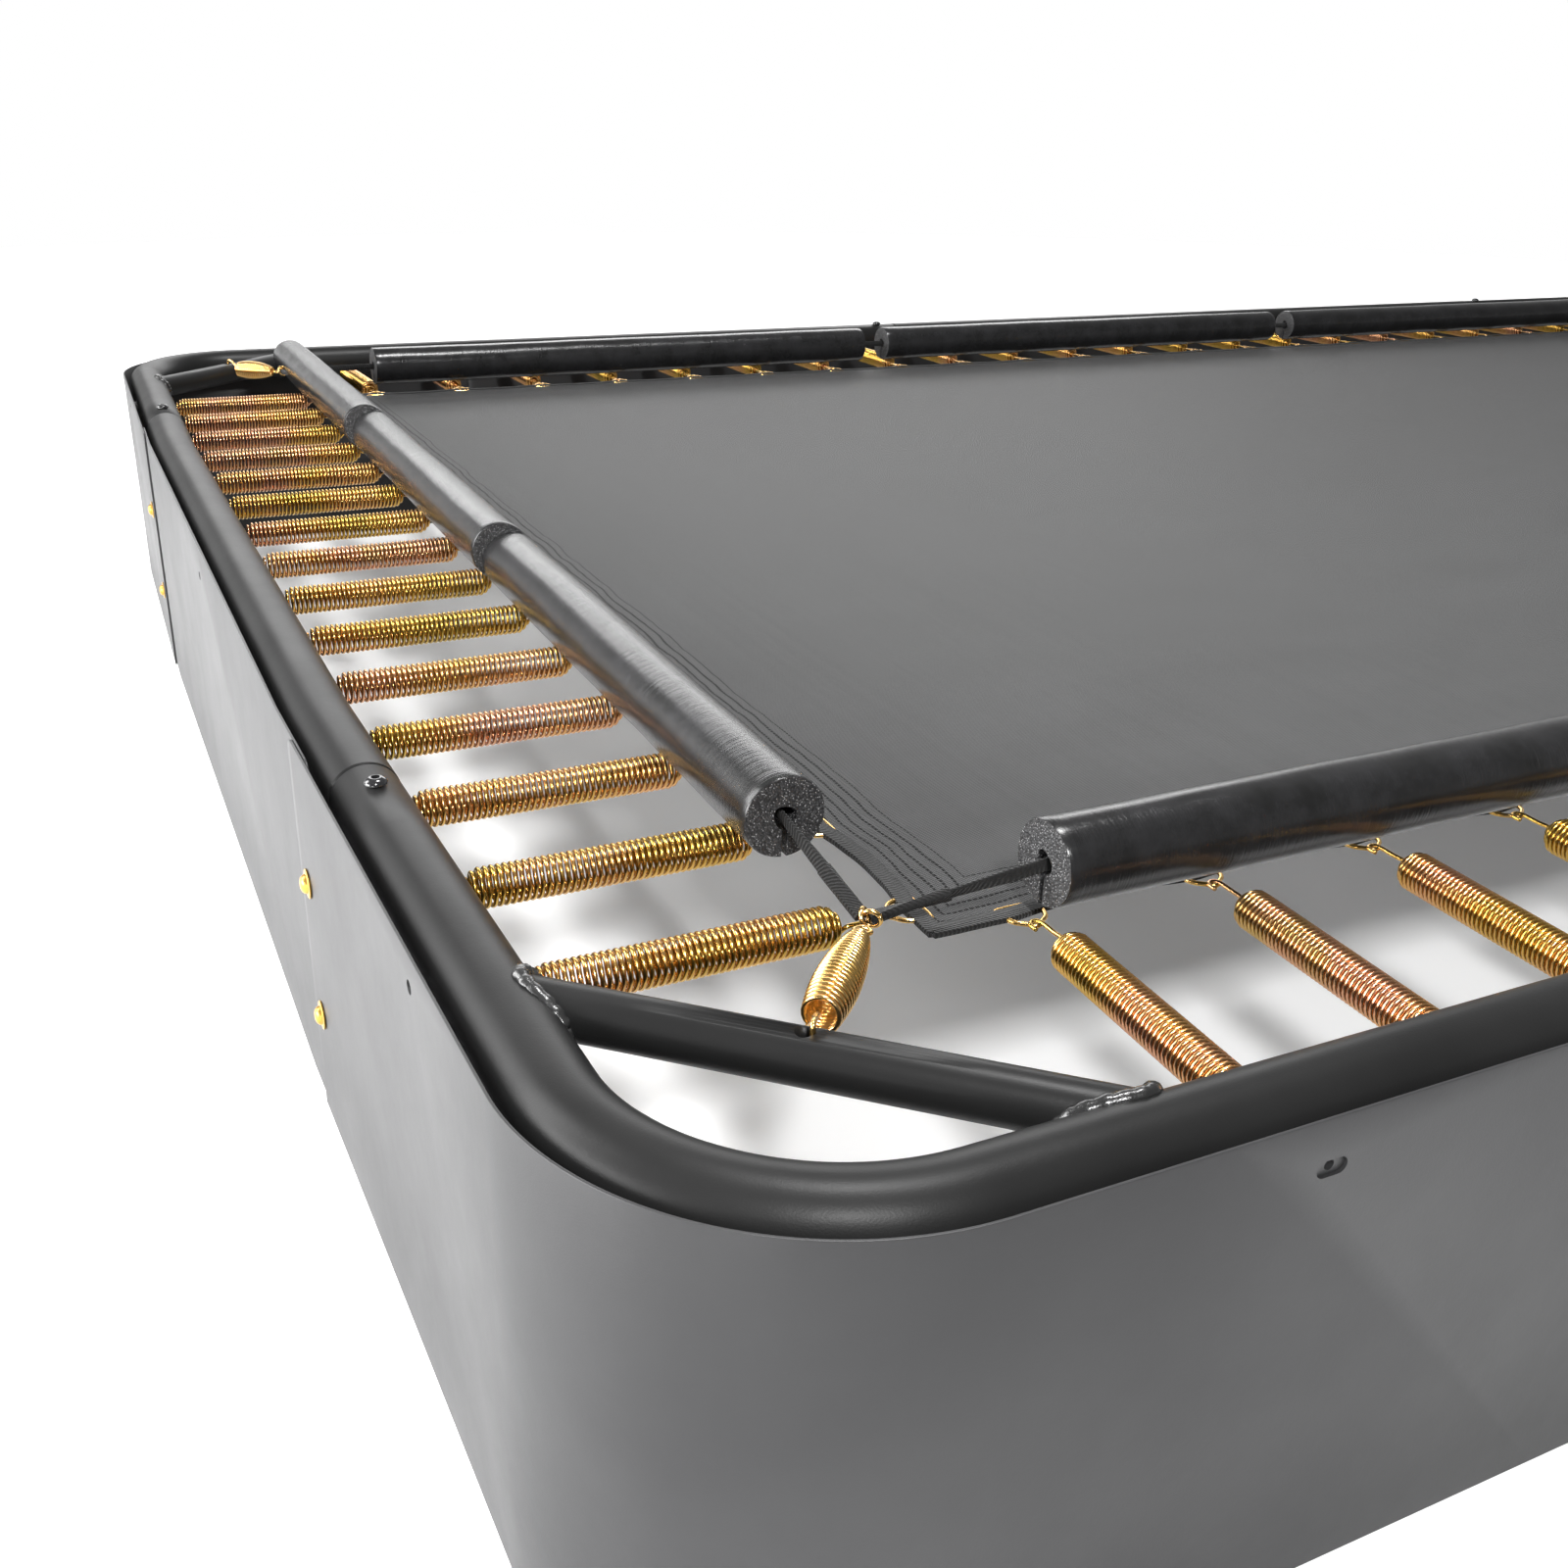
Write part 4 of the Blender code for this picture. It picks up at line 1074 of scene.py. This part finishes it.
for corner, (sx, sy) in CORNERS.items():
    ring = at_corner(corner, *ring_spot(corner))
    hole = at_corner(corner, BRACE_U / 2 + 0.004, BRACE_V / 2 - 0.002,
                     RAIL_Z + BRACE_DZ + BRACE_R)
    if corner in COVERED:
        low, top, turns = (0.1520, 0.1430, 0.0160), (0.1980, 0.1840, 0.0170), 18
    else:
        low, top, turns = (0.1640, 0.1600, 0.0020), (0.2260, 0.2330, -0.0020), 23
    low, top = (at_corner(corner, u, v, RAIL_Z + z) for u, v, z in (low, top))
    axis = (top - low).normalized()
    across = axis.cross(UP).normalized()
    coil = coil_points(low, top, barrel, turns, 22, math.pi * 1.25)
    # the lowest coil turns in across the opening and runs on to the brace hole
    first = Vector(coil[0])
    hook = smooth_path([first, first.lerp(low, 0.35) - axis * 0.0035,
                        low.lerp(hole, 0.35) + UP * 0.0035,
                        low.lerp(hole, 0.70) + UP * 0.0060,
                        hole + UP * 0.0045 - axis * 0.0005,
                        hole - axis * 0.0015 - UP * 0.0040], 7)[::-1]
    eye = smooth_path([Vector(coil[-1]), top + axis * 0.004 + across * 0.0030,
                       top + axis * 0.009 + across * 0.0050,
                       top + axis * 0.0135, top + axis * 0.009 - across * 0.0050,
                       top + axis * 0.004 - across * 0.0030], 6)
    path = np.concatenate([as_array(hook[:-1]), coil, as_array(eye[1:])])
    spring = piece_of(tube_rings(path, 0.00160, 12), "corner_spring_%s_coil" % corner,
                      GOLD_HOOK, None)
    strap = "strap_left" if sx < 0 else "strap_right"
    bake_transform(spring)
    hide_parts("corner_spring_" + corner)
    b = Build()
    wire_ring(b, ring + axis * 0.001, across + UP * 0.4, 0.0062)
    wire_ring(b, ring + across * 0.004 + UP * 0.001, axis + UP * 0.3, 0.0058)
    rings = b.piece("strap_rings_" + corner, [GOLD_HOOK], sharp=None)
    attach(rings, strap)

# --------------------------------------------------------- floor and light
# painted light: the floor glows, faintly near the frame and more from GLOW_START out to
# GLOW_END, so it turns white towards the horizon and the shadows cast on it stay light
FLOOR_R, GLOW_START, GLOW_END = 7.0, 3.6, 6.0
s = Surface("floor_white")
away = s.add("VectorMath")
away.operation = "LENGTH"
s.feed(away, {0: s.add("TexCoord").outputs["Object"]})
mesh = bpy.data.meshes.new("floor")
mesh.from_pydata([(FLOOR_R * math.cos(a), FLOOR_R * math.sin(a), -0.0005)
                  for a in (math.pi * k / 60 for k in range(120))], [],
                 [tuple(range(120))])
mesh.materials.append(s.finish({
    "Base Color": s.ramp(s.noise(1.2, 3.0), [(0.3, (0.90, 0.90, 0.90)),
                                             (0.7, (0.92, 0.92, 0.92))]),
    "Roughness": 0.7,
    "Emission Color": (1.0, 1.0, 1.0, 1.0),
    "Emission Strength": s.spread(away.outputs["Value"], 0.16, 0.90, GLOW_START,
                                  GLOW_END)}))
place("floor", mesh)


def softbox(name, spot, target, size, power):
    light = bpy.data.lights.new(name, "AREA")
    light.shape = "RECTANGLE"
    light.size, light.size_y = size
    light.energy = power
    obj = place(name, light)
    obj.location = spot
    obj.rotation_euler = (Vector(target) - Vector(spot)).to_track_quat("-Z", "Y") \
        .to_euler()


softbox("key_left", (-5.6, 2.2, 2.8), (-2.2, 0.2, 0.3), (2.0, 3.0), 260)
softbox("left_low", (-5.4, -0.2, 0.9), (-2.3, 0.2, 0.2), (3.0, 1.4), 240)
softbox("corner_low", (-4.6, -3.6, 0.7), (-2.2, -1.2, 0.3), (0.5, 0.5), 30)
softbox("back", (1.0, 7.0, 3.5), (0.0, 0.0, 0.2), (8.0, 2.5), 300)
softbox("top", (-1.2, -0.25, 4.4), (-2.0, -0.95, 0.0), (0.80, 0.80), 200)
softbox("front", (-2.7, -3.4, 2.9), (-1.9, -0.8, 0.0), (0.45, 0.45), 170)

# studio sky: white at the horizon, falling off overhead
world = bpy.data.worlds.new("studio")
bpy.context.scene.world = world
world.use_nodes = True
s = Shader(world.node_tree)
_, y, z = s.split(s.add("TexCoord").outputs["Generated"])
sky = s.ramp(z, [(0.06, (1.0, 1.0, 1.0)), (0.24, (0.50, 0.50, 0.50)),
                 (0.60, (0.24, 0.24, 0.24))])
dim = s.spread(y, 0.30, 1.0, -0.7, 0.2)
s.feed(world.node_tree.nodes["Background"], {
    "Color": s.mix(dim, (0.0, 0.0, 0.0, 1.0), sky), "Strength": 1.0})

# ------------------------------------------------------------------ camera
cam_data = bpy.data.cameras.new("camera")
cam_data.sensor_width = 36.0
cam_data.lens = 35.88
cam_data.clip_start = 0.02
cam = place("camera", cam_data)
YAW, PITCH, ROLL = 0.4543, 0.4181, 0.0282
ahead = Vector((math.sin(YAW) * math.cos(PITCH), math.cos(YAW) * math.cos(PITCH),
                -math.sin(PITCH)))
right = ahead.cross(UP).normalized()
above = right.cross(ahead)
right, above = (math.cos(ROLL) * right + math.sin(ROLL) * above,
                -math.sin(ROLL) * right + math.cos(ROLL) * above)
spin = Matrix((right, above, -ahead)).transposed().to_4x4()
cam.matrix_world = Matrix.Translation((-HX - 0.1646, -HY - 0.4613,
                                       RAIL_Z + 0.4476)) @ spin
bpy.context.scene.camera = cam
bpy.context.scene.view_settings.view_transform = "Standard"
